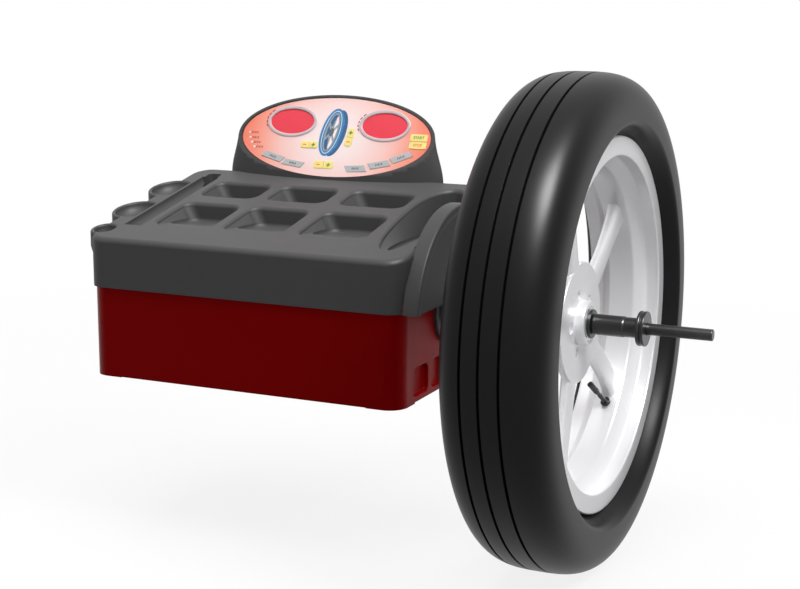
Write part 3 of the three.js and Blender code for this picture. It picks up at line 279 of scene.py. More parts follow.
def ring_of(profile, at=(0.0, 0.0, 0.0), sides=96, round_mm=0.8):
    """A turned ring: the closed profile's corners are rounded, its first one too."""
    closed = np.vstack([profile[-1:], profile, profile[:1]])
    return turned(rounded_profile(closed, round_mm)[1:-1], at, sides)


print("a rounded square has", len(rounded_rectangle(10, 10, 3)), "points")

# %% [markdown]
# ## Small tools for materials
# Colours are written as they look on screen, in sRGB hex, and one function turns them to the linear
# values that the shader works with. One more adds a node with its settings and links.

# %% Colour and node helpers


def colour(code):
    """The linear colour of an sRGB hex code, with full alpha."""
    srgb = np.array([int(code[i:i + 2], 16) for i in (1, 3, 5)]) / 255
    linear = np.where(srgb <= 0.04045, srgb / 12.92, ((srgb + 0.055) / 1.055) ** 2.4)
    return (*linear.tolist(), 1.0)


def add(tree, kind, sockets=None, **settings):
    """Adds a node: settings are its own properties, sockets are values or other nodes' outputs."""
    node = tree.nodes.new(kind)
    for name, value in settings.items():
        setattr(node, name, value)
    for name, value in (sockets or {}).items():
        if isinstance(value, bpy.types.NodeSocket):
            tree.links.new(value, node.inputs[name])
        else:
            node.inputs[name].default_value = value
    return node


def new_material(name):
    """An empty material and its node tree."""
    material = bpy.data.materials.new(name)
    material.use_nodes = True
    material.node_tree.nodes.clear()
    return material, material.node_tree


def finish_with(tree, shader):
    """Sends a shader to the material's output."""
    output = tree.nodes.new("ShaderNodeOutputMaterial")
    tree.links.new(shader, output.inputs["Surface"])


def plain_finish(name, code, grain_mm, grain_depth_mm, mottle=0.06, detail=3.0, **principled):
    """A surface with a fine grain and a faint cloud of lighter and darker colour.

    The grain is a noise whose features are grain_mm wide and grain_depth_mm deep, and the cloud is a
    second noise, twenty times as wide, that moves the colour by the share mottle.
    """
    material, tree = new_material(name)
    place = add(tree, "ShaderNodeTexCoord").outputs["Object"]
    grain, cloud = [
        add(tree, "ShaderNodeTexNoise", {"Vector": place, "Scale": 1 / (width * MM), "Detail": octaves})
        for width, octaves in ((grain_mm, detail), (20 * grain_mm, 2.0))
    ]
    dark = [c * (1 - mottle) for c in colour(code)[:3]] + [1]
    light = [min(1, c * (1 + mottle)) for c in colour(code)[:3]] + [1]
    mix = add(tree, "ShaderNodeMix", {"Factor": cloud.outputs["Fac"]}, data_type="RGBA")
    mix.inputs[6].default_value = dark
    mix.inputs[7].default_value = light
    bump = add(tree, "ShaderNodeBump", {
        "Height": grain.outputs["Fac"],
        "Distance": grain_depth_mm * MM,
        "Strength": 1.0,
    })
    sockets = {"Base Color": mix.outputs[2], "Normal": bump.outputs["Normal"]}
    for key, value in principled.items():
        sockets[key.replace("_", " ").title().replace("Ior", "IOR")] = value
    shader = add(tree, "ShaderNodeBsdfPrincipled", sockets)
    finish_with(tree, shader.outputs["BSDF"])
    return material


print("white is", colour("#FFFFFF"))

# %% [markdown]
# ## Finishes
# Each finish starts from what the real surface is and how it was made. Powder coat on steel is glossy
# with a faint orange peel, moulded ABS has an eroded grain that takes the gloss away, a tyre is a
# dull black with a soft sheen, and the cast rim wears a bright paint.

# %% Finishes
FINISHES = {
    # Powder coat: an even gloss over a soft orange peel about 3 mm wide.
    "red_paint": plain_finish(
        "powder_coated_red_steel", "#8E0204", 3, 0.012, mottle=0.03, roughness=0.32,
        specular_ior_level=0.12, specular_tint=colour("#FF5050")),
    # Moulded ABS with a spark-eroded grain, drawn a little coarser than the real one so that it shows.
    "grey_plastic": plain_finish(
        "moulded_grey_abs", "#4D4D4E", 1.4, 0.035, mottle=0.04, roughness=0.5, specular_ior_level=0.14),
    "display_lens": plain_finish("tinted_acrylic_window", "#F23D50", 30, 0.001, mottle=0.02, roughness=0.25),
    "bezel_plastic": plain_finish("satin_grey_bezel", "#CBBEC3", 1, 0.01, roughness=0.35),
    "yellow_key": plain_finish("yellow_key_cap", "#FCE68A", 2, 0.01, mottle=0.03, roughness=0.42),
    "grey_key": plain_finish("grey_key_cap", "#B9BBBD", 2, 0.01, mottle=0.03, roughness=0.42),
    "lamp_lens": plain_finish("clear_lamp_lens", "#FAF7F2", 5, 0.001, roughness=0.2),
    "circuit_board": plain_finish("green_solder_mask", "#1F5C3A", 2, 0.02, roughness=0.4),
    "black_plastic": plain_finish("moulded_black_plastic", "#1D1D1E", 1.2, 0.03, roughness=0.45),
    "zinc_steel": plain_finish("zinc_plated_steel", "#BFC2C4", 4, 0.01, roughness=0.35, metallic=1.0),
    "bearing_steel": plain_finish("ground_bearing_steel", "#C4C6C8", 1, 0.004, roughness=0.2, metallic=1.0),
    # Blackened steel: dark oxide, oiled, so it keeps a clear highlight along each shaft.
    "black_steel": plain_finish(
        "blackened_steel", "#222223", 1.5, 0.006, roughness=0.3, specular_ior_level=0.45),
    "cast_frame": plain_finish("cast_iron_frame", "#5B6064", 2.5, 0.15, roughness=0.6, metallic=0.4),
    # Cast aluminium under a bright silver-white paint.
    "aluminium": plain_finish(
        "painted_cast_aluminium", "#F4F4F6", 3, 0.01, mottle=0.02, roughness=0.28, metallic=0.15),
    "motor_paint": plain_finish("motor_enamel", "#26272A", 2, 0.03, roughness=0.4),
    "transformer_core": plain_finish("varnished_core", "#7A4A2A", 1, 0.03, roughness=0.45),
    "belt_rubber": plain_finish("belt_rubber", "#202021", 1, 0.03, roughness=0.7),
    # Tyre rubber: black with a grey bloom, moulded smooth, so lamps give it long soft highlights.
    "tyre_rubber": plain_finish(
        "tyre_rubber", "#121213", 1.2, 0.02, mottle=0.05, roughness=0.36, specular_ior_level=0.12),
}
print("finishes:", len(FINISHES))

# %% [markdown]
# The console's panel is a polyester sheet, printed from behind and pale pink in the middle, salmon
# at its edge. The pattern follows the panel's own oval: a Mapping node moves the origin to the
# panel's middle, turns the axes onto the inclined sheet and divides by its half sizes, so the
# distance from the middle is 1 on the outline.

# %% The printed panel
PANEL_PLACE = np.array([-10.7, 146.5, 293.0])
PANEL_TILT = math.radians(65)
PANEL_HALF = (146.0, 58.0)

panel_material, tree = new_material("printed_polyester_panel")
place = add(tree, "ShaderNodeTexCoord").outputs["Object"]
panel_axes = add(tree, "ShaderNodeMapping", {
    "Vector": place,
    "Location": [v * MM for v in PANEL_PLACE],
    "Rotation": (PANEL_TILT, 0, 0),
    "Scale": (PANEL_HALF[0] * MM, PANEL_HALF[1] * MM, 1),
}, vector_type="TEXTURE")
OUTLINE_FROM = 0.986  # the share of the way out at which the printed outline begins
SIDE_STRETCH = 0.45  # the print changes this much less up and down than to the sides


def way_out(stretch):
    """How far a point lies from the panel's middle, with its height scaled by stretch."""
    flat = add(tree, "ShaderNodeVectorMath", {
        0: panel_axes.outputs[0], 1: (1, stretch, 0)}, operation="MULTIPLY")
    return add(tree, "ShaderNodeVectorMath", {0: flat.outputs[0]}, operation="LENGTH").outputs["Value"]


def ramp(tree, factor, stops):
    """A colour ramp through sRGB colours at rising places."""
    node = add(tree, "ShaderNodeValToRGB", {0: factor})
    elements = node.color_ramp.elements
    elements.remove(elements[1])
    elements[0].position, elements[0].color = stops[0][0], colour(stops[0][1])
    for position, code in stops[1:]:
        elements.new(position).color = colour(code)
    return node.outputs["Color"]


print_colour = ramp(tree, way_out(SIDE_STRETCH), [
    (0.0, "#FFF4F2"), (0.3, "#FFE6E3"), (0.55, "#FFCFC8"), (0.75, "#FDA997"), (0.9, "#FC9078"),
    (1.0, "#FB8468")])
outline = add(tree, "ShaderNodeMath", {0: way_out(1), 1: OUTLINE_FROM}, operation="GREATER_THAN")
printed = add(tree, "ShaderNodeMix", {
    0: outline.outputs[0], 6: print_colour, 7: colour("#5A3638")}, data_type="RGBA")
ink = add(tree, "ShaderNodeTexNoise", {"Vector": place, "Scale": 1 / (2 * MM), "Detail": 2.0})
relief = add(tree, "ShaderNodeBump", {"Height": ink.outputs["Fac"], "Distance": 0.004 * MM, "Strength": 1.0})
shader = add(tree, "ShaderNodeBsdfPrincipled", {
    "Base Color": printed.outputs[2],
    "Roughness": 0.4,
    "Specular IOR Level": 0.3,
    "Normal": relief.outputs["Normal"],
})
finish_with(tree, shader.outputs["BSDF"])
FINISHES["panel_print"] = panel_material

INKS = {
    name: plain_finish(name + "_ink", code, 2, 0.002, mottle=0.03, roughness=0.4)
    for name, code in {
        "blue": "#2F7FB5", "dark_blue": "#1F5E8E", "grey": "#97A0A6", "red": "#B51F3A", "green": "#4C9A2A",
        "orange": "#F08A3C", "dark": "#5A6268", "dark_red": "#A8483F", "white": "#F3F1EE",
    }.items()
}

slot_of = {part["node"]: part["material_slot"] for part in frame["record"]["subparts"]}
for name, part in nodes.items():
    part.data.materials.clear()
    part.data.materials.append(FINISHES[slot_of[name]])


def dress(piece, finish, body, *replaced, ink=None):
    """Gives a new piece its finish and its body, and hides the parts that it stands for."""
    piece.data.materials.clear()
    piece.data.materials.append(INKS[ink] if ink else FINISHES[finish])
    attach(piece, body)
    if replaced:
        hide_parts(*replaced)
    return piece


def make(name, form, finish, body, *replaced, sharp=30, ink=None):
    """A dressed piece with even shading, from a surface or an object."""
    piece = even_shading(solid(form), sharp)
    piece.name = name
    return dress(piece, finish, body, *replaced, ink=ink)


print("inks:", len(INKS))

# %% [markdown]
# ## The moulded cover
# The cover is one injection moulding: a block with a sloping top, six pockets for balance weights, a
# channel and a slot for tools, half-round cups on the left, a round hood over the spindle and an
# upright pod for the console. Every corner of a moulding is rounded, so each form is a stack of
# outlines whose edges turn through many small steps. The outside is joined first, then the same
# forms moved in by the wall are cut out, and last the tubs are joined and the hollows cut.

# %% Sizes of the cover
SHELL = {"half_x": 220.3, "half_y": 138.0, "height": 122.0, "corner": 24.0}
COVER = {"wall": 3.0, "skirt": 5.0, "front": 181.0, "edge": 6.5, "slope": math.tan(math.radians(12))}
GAP = 0.3
COVER_X = SHELL["half_x"] + GAP + COVER["wall"]
COVER_Y = SHELL["half_y"] + GAP + COVER["wall"]
COVER_BOTTOM = SHELL["height"] - COVER["skirt"]
SPINDLE_Z = 99.0
# Of a hollow: the radii of its mouth's lip and round its floor, and how far the side walls (lean) and
# the front wall (ramp) slope inwards down to the floor.
POCKET = {"corner": 14.0, "lip": 5.0, "round": 7.0, "lean": 7.0, "ramp": 20.0}
POCKET_ROWS = [(-36.98, 40.99, 185.0), (61.51, 27.46, 203.0)]  # middle, half length, floor
POCKET_COLUMNS = [(-117.64, 42.01), (-15.2, 42.52), (95.3, 45.01)]  # middle, half width
WELL = {"x": 185.6, "y": 46.9, "half_x": 31.0, "behind": 66.0, "ahead": 151.8, "floor": 180.0, "lip": 5.0,
        "round": 6.0, "lean": 13.0, "ramp": 12.0}
CHANNEL = {"x": -183.7, "radius": 13.0, "drop": 1.0, "front": -90.0, "back": 104.1}
SLOT = {"x": -183.7, "y": 107.0, "half_x": 10.0, "half_y": 12.0, "corner": 5.0, "depth": 42.0}
CUP_X = -215.4
CUPS = [(-106.0, 19.0), (-33.0, 33.0), (54.0, 33.0)]  # middle, radius
# Of a side cup: skin is the height of its outside, back how far its room reaches onto the tray, sink
# how far its brim lies under the tray, and past how far its cut runs over the brim.
CUP = {"wall": 5.0, "depth": 20.0, "bowl": 17.0, "skin": 46.0, "back": 12.7, "edge": 2.5, "lip": 2.5,
       "sink": 0.4, "past": 1.8}
# Shares of the height, and the share of the radius that the outside has there.
CUP_SIDE = [(0.0, 0.3), (0.06, 0.5), (0.14, 0.66), (0.22, 0.76), (0.36, 0.92), (0.5, 1.0), (0.7, 1.0)]
HOOD = {"radius": 135.0, "reach": 18.0, "rim": 9.0, "step": 2.5}
POD_X, POD_Y, POD_HALF_Y = -10.7, 146.5, 25.0
POD_LEVELS = [(150.0, 119.0), (206.0, 160.0), (238.0, 163.0), (293.0, 151.0), (356.0, 149.5)]  # z, half width
POD_FOOT_Y, POD_FOOT_HALF_Y = 133.0, 6.0
PANEL = {"thick": 3.0, "ledge": 7.0, "ledge_thick": 4.0, "lip": 1.2}
ABOVE = 3.0  # how far a cutting form runs past the face that it opens


def tray_height(y):
    """The height of the tray over a place: a plane that rises 12 degrees to the back."""
    return COVER["front"] + COVER["slope"] * (y + COVER_Y)


def rounded_edge(outline_at, height_at, radius, steps=10):
    """Levels that turn an upper edge inwards along a quarter circle of the given radius."""
    return [
        (outline_at(-over), lambda y, down=down: height_at(y) - down)
        for over, down in arc(radius, np.linspace(0, np.pi / 2, steps + 1))
    ]


def cover_block(inset, low):
    """The block under the tray, with every face moved in by inset."""
    def at(offset):
        corner = SHELL["corner"] + COVER["wall"] + offset - inset
        return rounded_rectangle(COVER_X + offset - inset, COVER_Y + offset - inset, corner, 14)
    top = rounded_edge(at, lambda y: tray_height(y) - inset, COVER["edge"] - inset)
    return stacked([(at(0), low), *top])


def cup_skin(y, radius, inset=0.0):
    """A half-round cup's outside: circles that swell from the foot to the brim."""
    foot = tray_height(y) - CUP["skin"]

    def at(size):
        return oval(size - inset, size - inset, 64)
    sides = [
        (at(radius * share), foot + inset + rise * (CUP["skin"] - inset)) for rise, share in CUP_SIDE
    ]
    brim = rounded_edge(
        lambda offset: at(radius + offset), lambda py: tray_height(py) - CUP["sink"] - inset, CUP["edge"], 6)
    return stacked([*sides, *brim], CUP_X, y)


def hood_body(inset):
    """The round hood: a turned disc with a raised rim, standing off the right side."""
    base, face = COVER_X - COVER["wall"] - inset, COVER_X + HOOD["reach"] - inset
    radius, step = HOOD["radius"] - inset, HOOD["step"]
    rim = radius - HOOD["rim"]
    profile = [(base, 0), (base, radius), (face, radius), (face, rim), (face - step, rim - step),
               (face - step, 0)]
    return solid_of(profile, (0, 0, SPINDLE_Z), 160, 3.0)


def pod_body(inset):
    """The pod: ovals whose half width follows a smooth curve through the measured levels.

    Between two levels the curve is the cubic that has their widths and slopes at its ends.
    """
    heights, widths = np.array(POD_LEVELS).T
    slopes = np.gradient(widths, heights)

    def ring(width, half_y, z, y):
        outline = oval(width - inset, half_y - inset, 144)
        return np.column_stack([outline + [POD_X, y], np.full(len(outline), z)])
    rings = [ring(widths[0], POD_FOOT_HALF_Y, heights[0], POD_FOOT_Y)]
    for k in range(1, len(heights) - 1):
        span = heights[k + 1] - heights[k]
        for t in np.linspace(0, 1, 8, endpoint=False):
            width = ((2 * t ** 3 - 3 * t ** 2 + 1) * widths[k] + (t ** 3 - 2 * t ** 2 + t) * span * slopes[k]
                     + (3 * t ** 2 - 2 * t ** 3) * widths[k + 1] + (t ** 3 - t ** 2) * span * slopes[k + 1])
            rings.append(ring(width, POD_HALF_Y, heights[k] + t * span, POD_Y))
    return skin([*rings, ring(widths[-1], POD_HALF_Y, heights[-1], POD_Y)])


def on_panel(surface):
    """Turns a surface drawn flat, with z out of the face, onto the inclined panel."""
    points, faces = surface
    cos, sin = math.cos(PANEL_TILT), math.sin(PANEL_TILT)
    turn = np.array([[1, 0, 0], [0, cos, -sin], [0, sin, cos]])
    return points @ turn.T + PANEL_PLACE, faces


def panel_oval(offset):
    """The panel's outline, moved out by offset."""
    return oval(PANEL_HALF[0] + offset, PANEL_HALF[1] + offset, 144)


def slab(outline, low, high):
    """A flat block under an outline, between two heights."""
    return stacked([(outline, low), (outline, high)])


def block(low, high):
    """A box between two corners."""
    (x0, y0, z0), (x1, y1, z1) = low, high
    return slab(np.array([[x0, y0], [x1, y0], [x1, y1], [x0, y1]], dtype=float), z0, z1)


print("tray height in the middle:", round(tray_height(0), 1))

# %% Hollows of the tray
MOUTH_TURN = np.radians([0, 10, 22, 34, 46, 58, 70])
MOUTH_PAST = 0.6  # mm that a mouth's last, straight step runs past the face


def square_hollow(plan, side, front, back, out=0.0):
    """A pocket's outline, moved in at the sides, the front and the back, and out all round."""
    half = plan["half_y"] + out - (front + back) / 2
    outline = rounded_rectangle(plan["half_x"] - side + out, half, plan["corner"] + out)
    return outline + [0, (front - back) / 2]


def leaf_hollow(plan, side, front, back, out=0.0):
    """The side well's outline: an oval that is short behind its widest place and long ahead of it."""
    outline = oval(1, 1, 80)
    reach = np.where(outline[:, 1] > 0, plan["behind"] - back, plan["ahead"] - front) + out
    return outline * np.stack([np.full(len(reach), plan["half_x"] - side + out), reach], -1)


def hollow_tool(plan):
    """What is cut for a hollow, from its floor up.

    The floor turns up along a quarter circle, the walls lean outwards, and the mouth turns over along
    an arc of radius lip that meets the tray at a shallow angle.
    """
    shape, lip, end = plan["shape"], plan["lip"], MOUTH_TURN[-1]
    levels = [
        (shape(plan, plan["lean"] + left, plan["ramp"] + left, left), plan["floor"] + rise)
        for rise, left in arc(plan["round"], np.linspace(0, np.pi / 2, 9))
    ]
    levels += [
        (shape(plan, 0, 0, 0, out), lambda y, down=down: tray_height(y) - down)
        for out, down in arc(lip, MOUTH_TURN)
    ]
    rise = lip * (1 - math.sin(end)) + MOUTH_PAST
    out = lip * (1 - math.cos(end)) + rise * math.tan(end)
    levels.append((shape(plan, 0, 0, 0, out), lambda y: tray_height(y) + MOUTH_PAST))
    return stacked(levels, plan["x"], plan["y"])


def hollow_tub(plan):
    """The wall round a hollow: its outlines moved out by the wall, up to the tray's sheet."""
    wall, shape = COVER["wall"], plan["shape"]
    mouth = shape(plan, 0, 0, 0, wall)
    levels = [
        (shape(plan, plan["lean"], plan["ramp"], 0, wall), plan["floor"] - wall),
        (mouth, lambda y: tray_height(y) - plan["lip"] - wall),
        (mouth, lambda y: tray_height(y) - wall / 2),
    ]
    return stacked(levels, plan["x"], plan["y"])


def channel_tool(wall=0.0):
    """The round-bottomed channel: a half circle with straight sides, carried along the slope."""
    radius = CHANNEL["radius"] + wall
    turn = np.linspace(np.pi, 2 * np.pi, 25)
    x = np.concatenate([radius * np.cos(turn), [radius + 1, -radius - 1]])
    z = np.concatenate([radius * np.sin(turn), [radius, radius]]) - CHANNEL["drop"]
    return skin([
        np.column_stack([CHANNEL["x"] + x, np.full(len(x), y), tray_height(y) + z])
        for y in (CHANNEL["front"] - wall, CHANNEL["back"] + wall)
    ])


def slot_tool(wall=0.0):
    """The upright slot at the channel's end."""
    outline = rounded_rectangle(SLOT["half_x"] + wall, SLOT["half_y"] + wall, SLOT["corner"] + wall, 6)
    mouth = -COVER["wall"] / 2 if wall else ABOVE
    floor = tray_height(SLOT["y"]) - SLOT["depth"] - wall
    return stacked([(outline, floor), (outline, lambda y: tray_height(y) + mouth)], SLOT["x"], SLOT["y"])


def cup_tool(y, radius):
    """A side cup's room: a bowl that leans with the tray, cut flat on the tray's side.

    Point t of its profile lies at the radius times the sine of t, and deep by the bowl times the
    cosine of t. The mouth turns over along an arc of radius lip.
    """
    inner, lip = radius - CUP["wall"], CUP["lip"]

    def at(offset):
        outline = oval(inner + offset, inner + offset, 64)
        return np.column_stack([np.minimum(outline[:, 0], CUP["back"] + max(offset, 0)), outline[:, 1]])

    def below(depth):
        return lambda py: tray_height(py) - CUP["sink"] - depth
    levels = [
        (at(inner * (np.sin(t) - 1)), below(lip + CUP["bowl"] * np.cos(t)))
        for t in np.linspace(0.1, np.pi / 2, 12)
    ]
    levels += [(at(out), below(down)) for out, down in arc(lip, np.radians([15, 30, 45, 60, 72]))]
    return stacked([*levels, (at(2 * lip), below(-CUP["past"]))], CUP_X, y)


pocket_plans = [
    {**POCKET, "shape": square_hollow, "x": x, "y": y, "half_x": half_x, "half_y": half_y, "floor": floor}
    for y, half_y, floor in POCKET_ROWS for x, half_x in POCKET_COLUMNS
]
hollow_plans = [*pocket_plans, {**WELL, "shape": leaf_hollow}]
print("hollows in the tray:", len(hollow_plans))

# %% Join and cut the cover
FAR = 500.0
PROUD = 1.0  # how far the pod's rim stands out over the panel


def outside_of(inset, low, panel_offset):
    """The cover's block, hood and pod, with every face moved in by inset.

    The hood keeps to the right of the cover's middle and above its lower edge. The pod is cut along
    the panel's plane, moved out by panel_offset.
    """
    hood_room = block((0, -FAR, low), (COVER_X + HOOD["reach"] + ABOVE, FAR, FAR))
    hood = combine(hood_body(inset), "INTERSECT", hood_room)
    in_front = on_panel(block((-FAR, -FAR, panel_offset), (FAR, FAR, FAR)))
    pod = combine(pod_body(inset), "DIFFERENCE", in_front)
    return combine(cover_block(inset, low), "UNION", hood, pod)


panel_back = -PANEL["thick"] - GAP
cover = combine(outside_of(0, COVER_BOTTOM, PROUD), "UNION", *[cup_skin(*cup) for cup in CUPS])
hollow = outside_of(COVER["wall"], COVER_BOTTOM - ABOVE, -PANEL["thick"] - PANEL["ledge_thick"])
combine(cover, "DIFFERENCE", hollow)

core = combine(
    cover_block(COVER["wall"] / 2, COVER_BOTTOM), "UNION",
    *[cup_skin(*cup, COVER["wall"] / 2) for cup in CUPS])
cup_backs = [
    block((CUP_X - radius, y - radius, tray_height(y) - CUP["depth"] - COVER["wall"]),
          (CUP_X + CUP["back"] + COVER["wall"], y + radius, tray_height(y + radius)))
    for y, radius in CUPS
]
tubs = [*map(hollow_tub, hollow_plans), channel_tool(COVER["wall"]), slot_tool(COVER["wall"]), *cup_backs]
walls = combine(combine(tubs[0], "UNION", *tubs[1:]), "INTERSECT", core)
lip = combine(
    on_panel(slab(panel_oval(PANEL["lip"]), panel_back - PANEL["lip"], PROUD)), "INTERSECT",
    block((-FAR, POD_Y, 0), (FAR, FAR, FAR)))
combine(cover, "UNION", walls, lip)
behind_panel = combine(
    on_panel(slab(panel_oval(-PANEL["ledge"]), -PANEL["thick"] - 3 * PANEL["ledge_thick"], 0)),
    "INTERSECT", pod_body(COVER["wall"]))
combine(
    cover, "DIFFERENCE", behind_panel, *map(hollow_tool, hollow_plans), channel_tool(), slot_tool(),
    *[cup_tool(*cup) for cup in CUPS], on_panel(slab(panel_oval(GAP), panel_back, PANEL_HALF[0])))
make("moulded_cover", cover, "grey_plastic", "cabinet", "tray_cover")
print("faces in the cover:", len(cover.data.polygons))

# %% [markdown]
# ## The cabinet
# The cabinet is one folded sheet with four shallow recesses pressed into its right side. Its
# vertical corners are rolled, and the drawn recesses have rounded rims and floors.

# %% The cabinet's sheet
CABINET = {"wall": 2.0, "lip": 12.0, "relief": 2.0, "relief_pad": 45.0, "edge": 1.2}
# Of a recess: past is how far its cut runs over the face, in a last, straight step that is run deep.
VENT = {"half_y": 21.94, "half_z": 18.0, "corner": 9.0, "z": 26.0, "depth": 7.0, "rim": 2.0, "round": 4.0,
        "past": 0.6, "run": 0.7}
VENT_TURN = np.radians([0, 18, 36, 54, 72])
VENT_PLACES = [-76.38, -22.42, 31.54, 85.5]
SEAL_HOLE = 29.0
INLET = {"x": -150.0, "z": 44.0, "half_x": 14.3, "half_z": 25.3}
THROUGH = 4.0  # how far a cut runs to both sides of a wall's outer face


def cabinet_outline(offset):
    """The cabinet's plan, moved out by offset."""
    half_x, half_y, corner = (SHELL[key] + offset for key in ("half_x", "half_y", "corner"))
    return rounded_rectangle(half_x, half_y, corner, 14)


def level_at(height):
    """A height function that is the same over every place."""
    return lambda y: np.full(len(y), height)


def vent_form(y, levels):
    """Outlines on the right side: each level is how far in it lies and how much it grows."""
    rings = []
    for depth, grow in levels:
        half_y, half_z, corner = (VENT[key] + grow for key in ("half_y", "half_z", "corner"))
        outline = rounded_rectangle(half_y, half_z, corner, 8)
        x = np.full(len(outline), SHELL["half_x"] - depth)
        rings.append(np.column_stack([x, y + outline[:, 0], VENT["z"] + outline[:, 1]]))
    return skin(rings)


half_x, half_y, top, wall = SHELL["half_x"], SHELL["half_y"], SHELL["height"], CABINET["wall"]
relief, pad, mouth_lip = CABINET["relief"], CABINET["relief_pad"], CABINET["lip"]
vent_cut = [
    (VENT["depth"] - rise, -left) for rise, left in arc(VENT["round"], np.linspace(0, np.pi / 2, 6))
] + [(deep, out) for out, deep in arc(VENT["rim"], VENT_TURN)]
vent_cut.append((-VENT["past"], vent_cut[-1][1] + VENT["run"] * math.tan(VENT_TURN[-1])))
vent_back = [(VENT["depth"] + wall, wall), (wall / 2, wall)]
top_edge = rounded_edge(cabinet_outline, level_at(top), CABINET["edge"], 4)
mouth = rounded_rectangle(half_x - mouth_lip, half_y - mouth_lip, SHELL["corner"])
cabinet = combine(
    stacked([(cabinet_outline(0), 0.0), *top_edge]), "DIFFERENCE",
    slab(cabinet_outline(-wall), -ABOVE, top - wall), slab(mouth, top - wall - ABOVE, top + ABOVE))
combine(cabinet, "UNION", *[vent_form(y, vent_back) for y in VENT_PLACES])
spindle_gap = combine(
    drum(half_x - THROUGH, half_x + THROUGH, SEAL_HOLE, (0, 0, SPINDLE_Z), 64), "INTERSECT",
    block((0, -FAR, 0), (FAR, FAR, top)))
combine(
    cabinet, "DIFFERENCE", *[vent_form(y, vent_cut) for y in VENT_PLACES], spindle_gap,
    block((INLET["x"] - INLET["half_x"], half_y - THROUGH, INLET["z"] - INLET["half_z"]),
          (INLET["x"] + INLET["half_x"], half_y + THROUGH, INLET["z"] + INLET["half_z"])),
    block((-half_x + pad, -half_y - THROUGH, -ABOVE), (half_x - pad, half_y + THROUGH, relief)),
    block((-half_x - THROUGH, -half_y + pad, -ABOVE), (half_x + THROUGH, half_y - pad, relief)))
make("folded_cabinet", cabinet, "red_paint", "cabinet", "cabinet_shell")
print("faces in the cabinet:", len(cabinet.data.polygons))

# %% [markdown]
# ## The console
# The panel is a printed sheet on a plate, with windows, lamps and keys in holes of their own. All of
# them are drawn flat, with z out of the face, and turned onto the inclined panel.

# %% Panel, windows and bezels
WINDOW_HALF = (34.0, 18.3)
WINDOW_PLACES = {"left": (-69.64, 20.42), "right": (72.71, 19.37)}
PANEL_EDGE = [(0, -PANEL["thick"]), (0, -0.3), (0.1, -0.1), (0.3, 0.0)]  # moved in, height
BEZEL = {"width": 4.4, "height": 0.9, "gap": 0.05}
PANE = {"sink": 0.8, "thick": 1.6, "dome": 0.6}
KEY = {"thick": 3.0, "proud": 0.8, "corner": 0.8, "slant": 2.4, "edge": 0.5}
LAMP = {"radius": 1.6, "proud": 0.4, "bar": 2.0, "bar_width": 5.0}
LAMP_PLACES = [(-134.03, 1.97), (-131.55, -5.51), (-127.46, -12.53), (-122.06, -19.02)]
BOSS = {"radius": 3.5, "low": -4.3, "high": -1.5}
BOSS_PLACES = [(-93.01, -4.49), (93.01, -4.49), (11.68, -43.5), (-71.54, -22.04)]
# Each key's middle and half size as shares of the panel's half sizes, its turn in degrees and its lean.
KEYS = {
    "mode_key_left": ((-0.61, -0.552), (0.113, 0.076), -15, 1),
    "mode_key_right": ((-0.384, -0.698), (0.106, 0.072), -8, 1),
    "function_key_left": ((0.281, -0.75), (0.103, 0.079), 4, -1),
    "function_key_middle": ((0.514, -0.621), (0.103, 0.079), 13, -1),
    "function_key_right": ((0.723, -0.422), (0.099, 0.079), 24, -1),
    "start_key": ((0.866, 0.076), (0.086, 0.086), 0, 0),
    "stop_key": ((0.866, -0.11), (0.086, 0.086), 0, 0),
    "inner_minus_key": ((-0.296, -0.217), (0.043, 0.083), 0, 0),
    "inner_plus_key": ((-0.204, -0.217), (0.043, 0.083), 0, 0),
    "outer_plus_key": ((0.164, 0.124), (0.0356, 0.107), -6, 0),
    "outer_minus_key": ((0.155, -0.103), (0.0356, 0.107), -6, 0),
    "width_minus_key": ((-0.112, -0.7), (0.0507, 0.09), 0, 0),
    "width_plus_key": ((-0.0055, -0.7), (0.0507, 0.09), 0, 0),
}
MEETS = {  # the corners of a key that touch its twin
    "inner_minus_key": "ne se", "inner_plus_key": "nw sw", "width_minus_key": "ne se",
    "width_plus_key": "nw sw", "outer_plus_key": "sw se", "outer_minus_key": "nw ne",
    "start_key": "sw se", "stop_key": "nw ne",
}
PILL_CORNER = {"inner": 3.4, "width": 3.4, "outer": 3.6, "start": 2.2, "stop_": 2.2}


def placed(outline, u, v, turn_degrees=0.0):
    """An outline turned and moved on the panel."""
    cos, sin = math.cos(math.radians(turn_degrees)), math.sin(math.radians(turn_degrees))
    return outline @ np.array([[cos, sin], [-sin, cos]]) + [u, v]


def key_middle(name):
    """The middle of a key on the panel."""
    return KEYS[name][0][0] * PANEL_HALF[0], KEYS[name][0][1] * PANEL_HALF[1]


def key_outline(name, grow):
    """A key's outline on the panel, slanted by its lean.

    The corners are quarter circles. Those on a side where two keys of a pill meet are small, and the
    pill's outer ones are large.
    """
    _, (share_u, share_v), turn, lean = KEYS[name]
    half_u, half_v = share_u * PANEL_HALF[0] + grow, share_v * PANEL_HALF[1] + grow
    small, large = KEY["corner"], PILL_CORNER.get(name[:5], KEY["corner"])
    corners = [small if side in MEETS.get(name, "") else large for side in ("ne", "nw", "sw", "se")]
    outline = rounded_rectangle(half_u, half_v, np.array(corners)[:, None] + grow, 6)
    outline[:, 0] += lean * KEY["slant"] * outline[:, 1] / half_v
    return placed(outline, *key_middle(name), turn)


def window_oval(offset, place):
    """A window's outline on the panel, moved out by offset."""
    return placed(oval(WINDOW_HALF[0] + offset, WINDOW_HALF[1] + offset), *place)


def disc(radius, u, v):
    """A small circle on the panel."""
    return placed(oval(radius, radius, 24), u, v)


def shrunk(outline, share):
    """An outline drawn in towards its middle."""
    middle = outline.mean(0)
    return middle + (outline - middle) * share


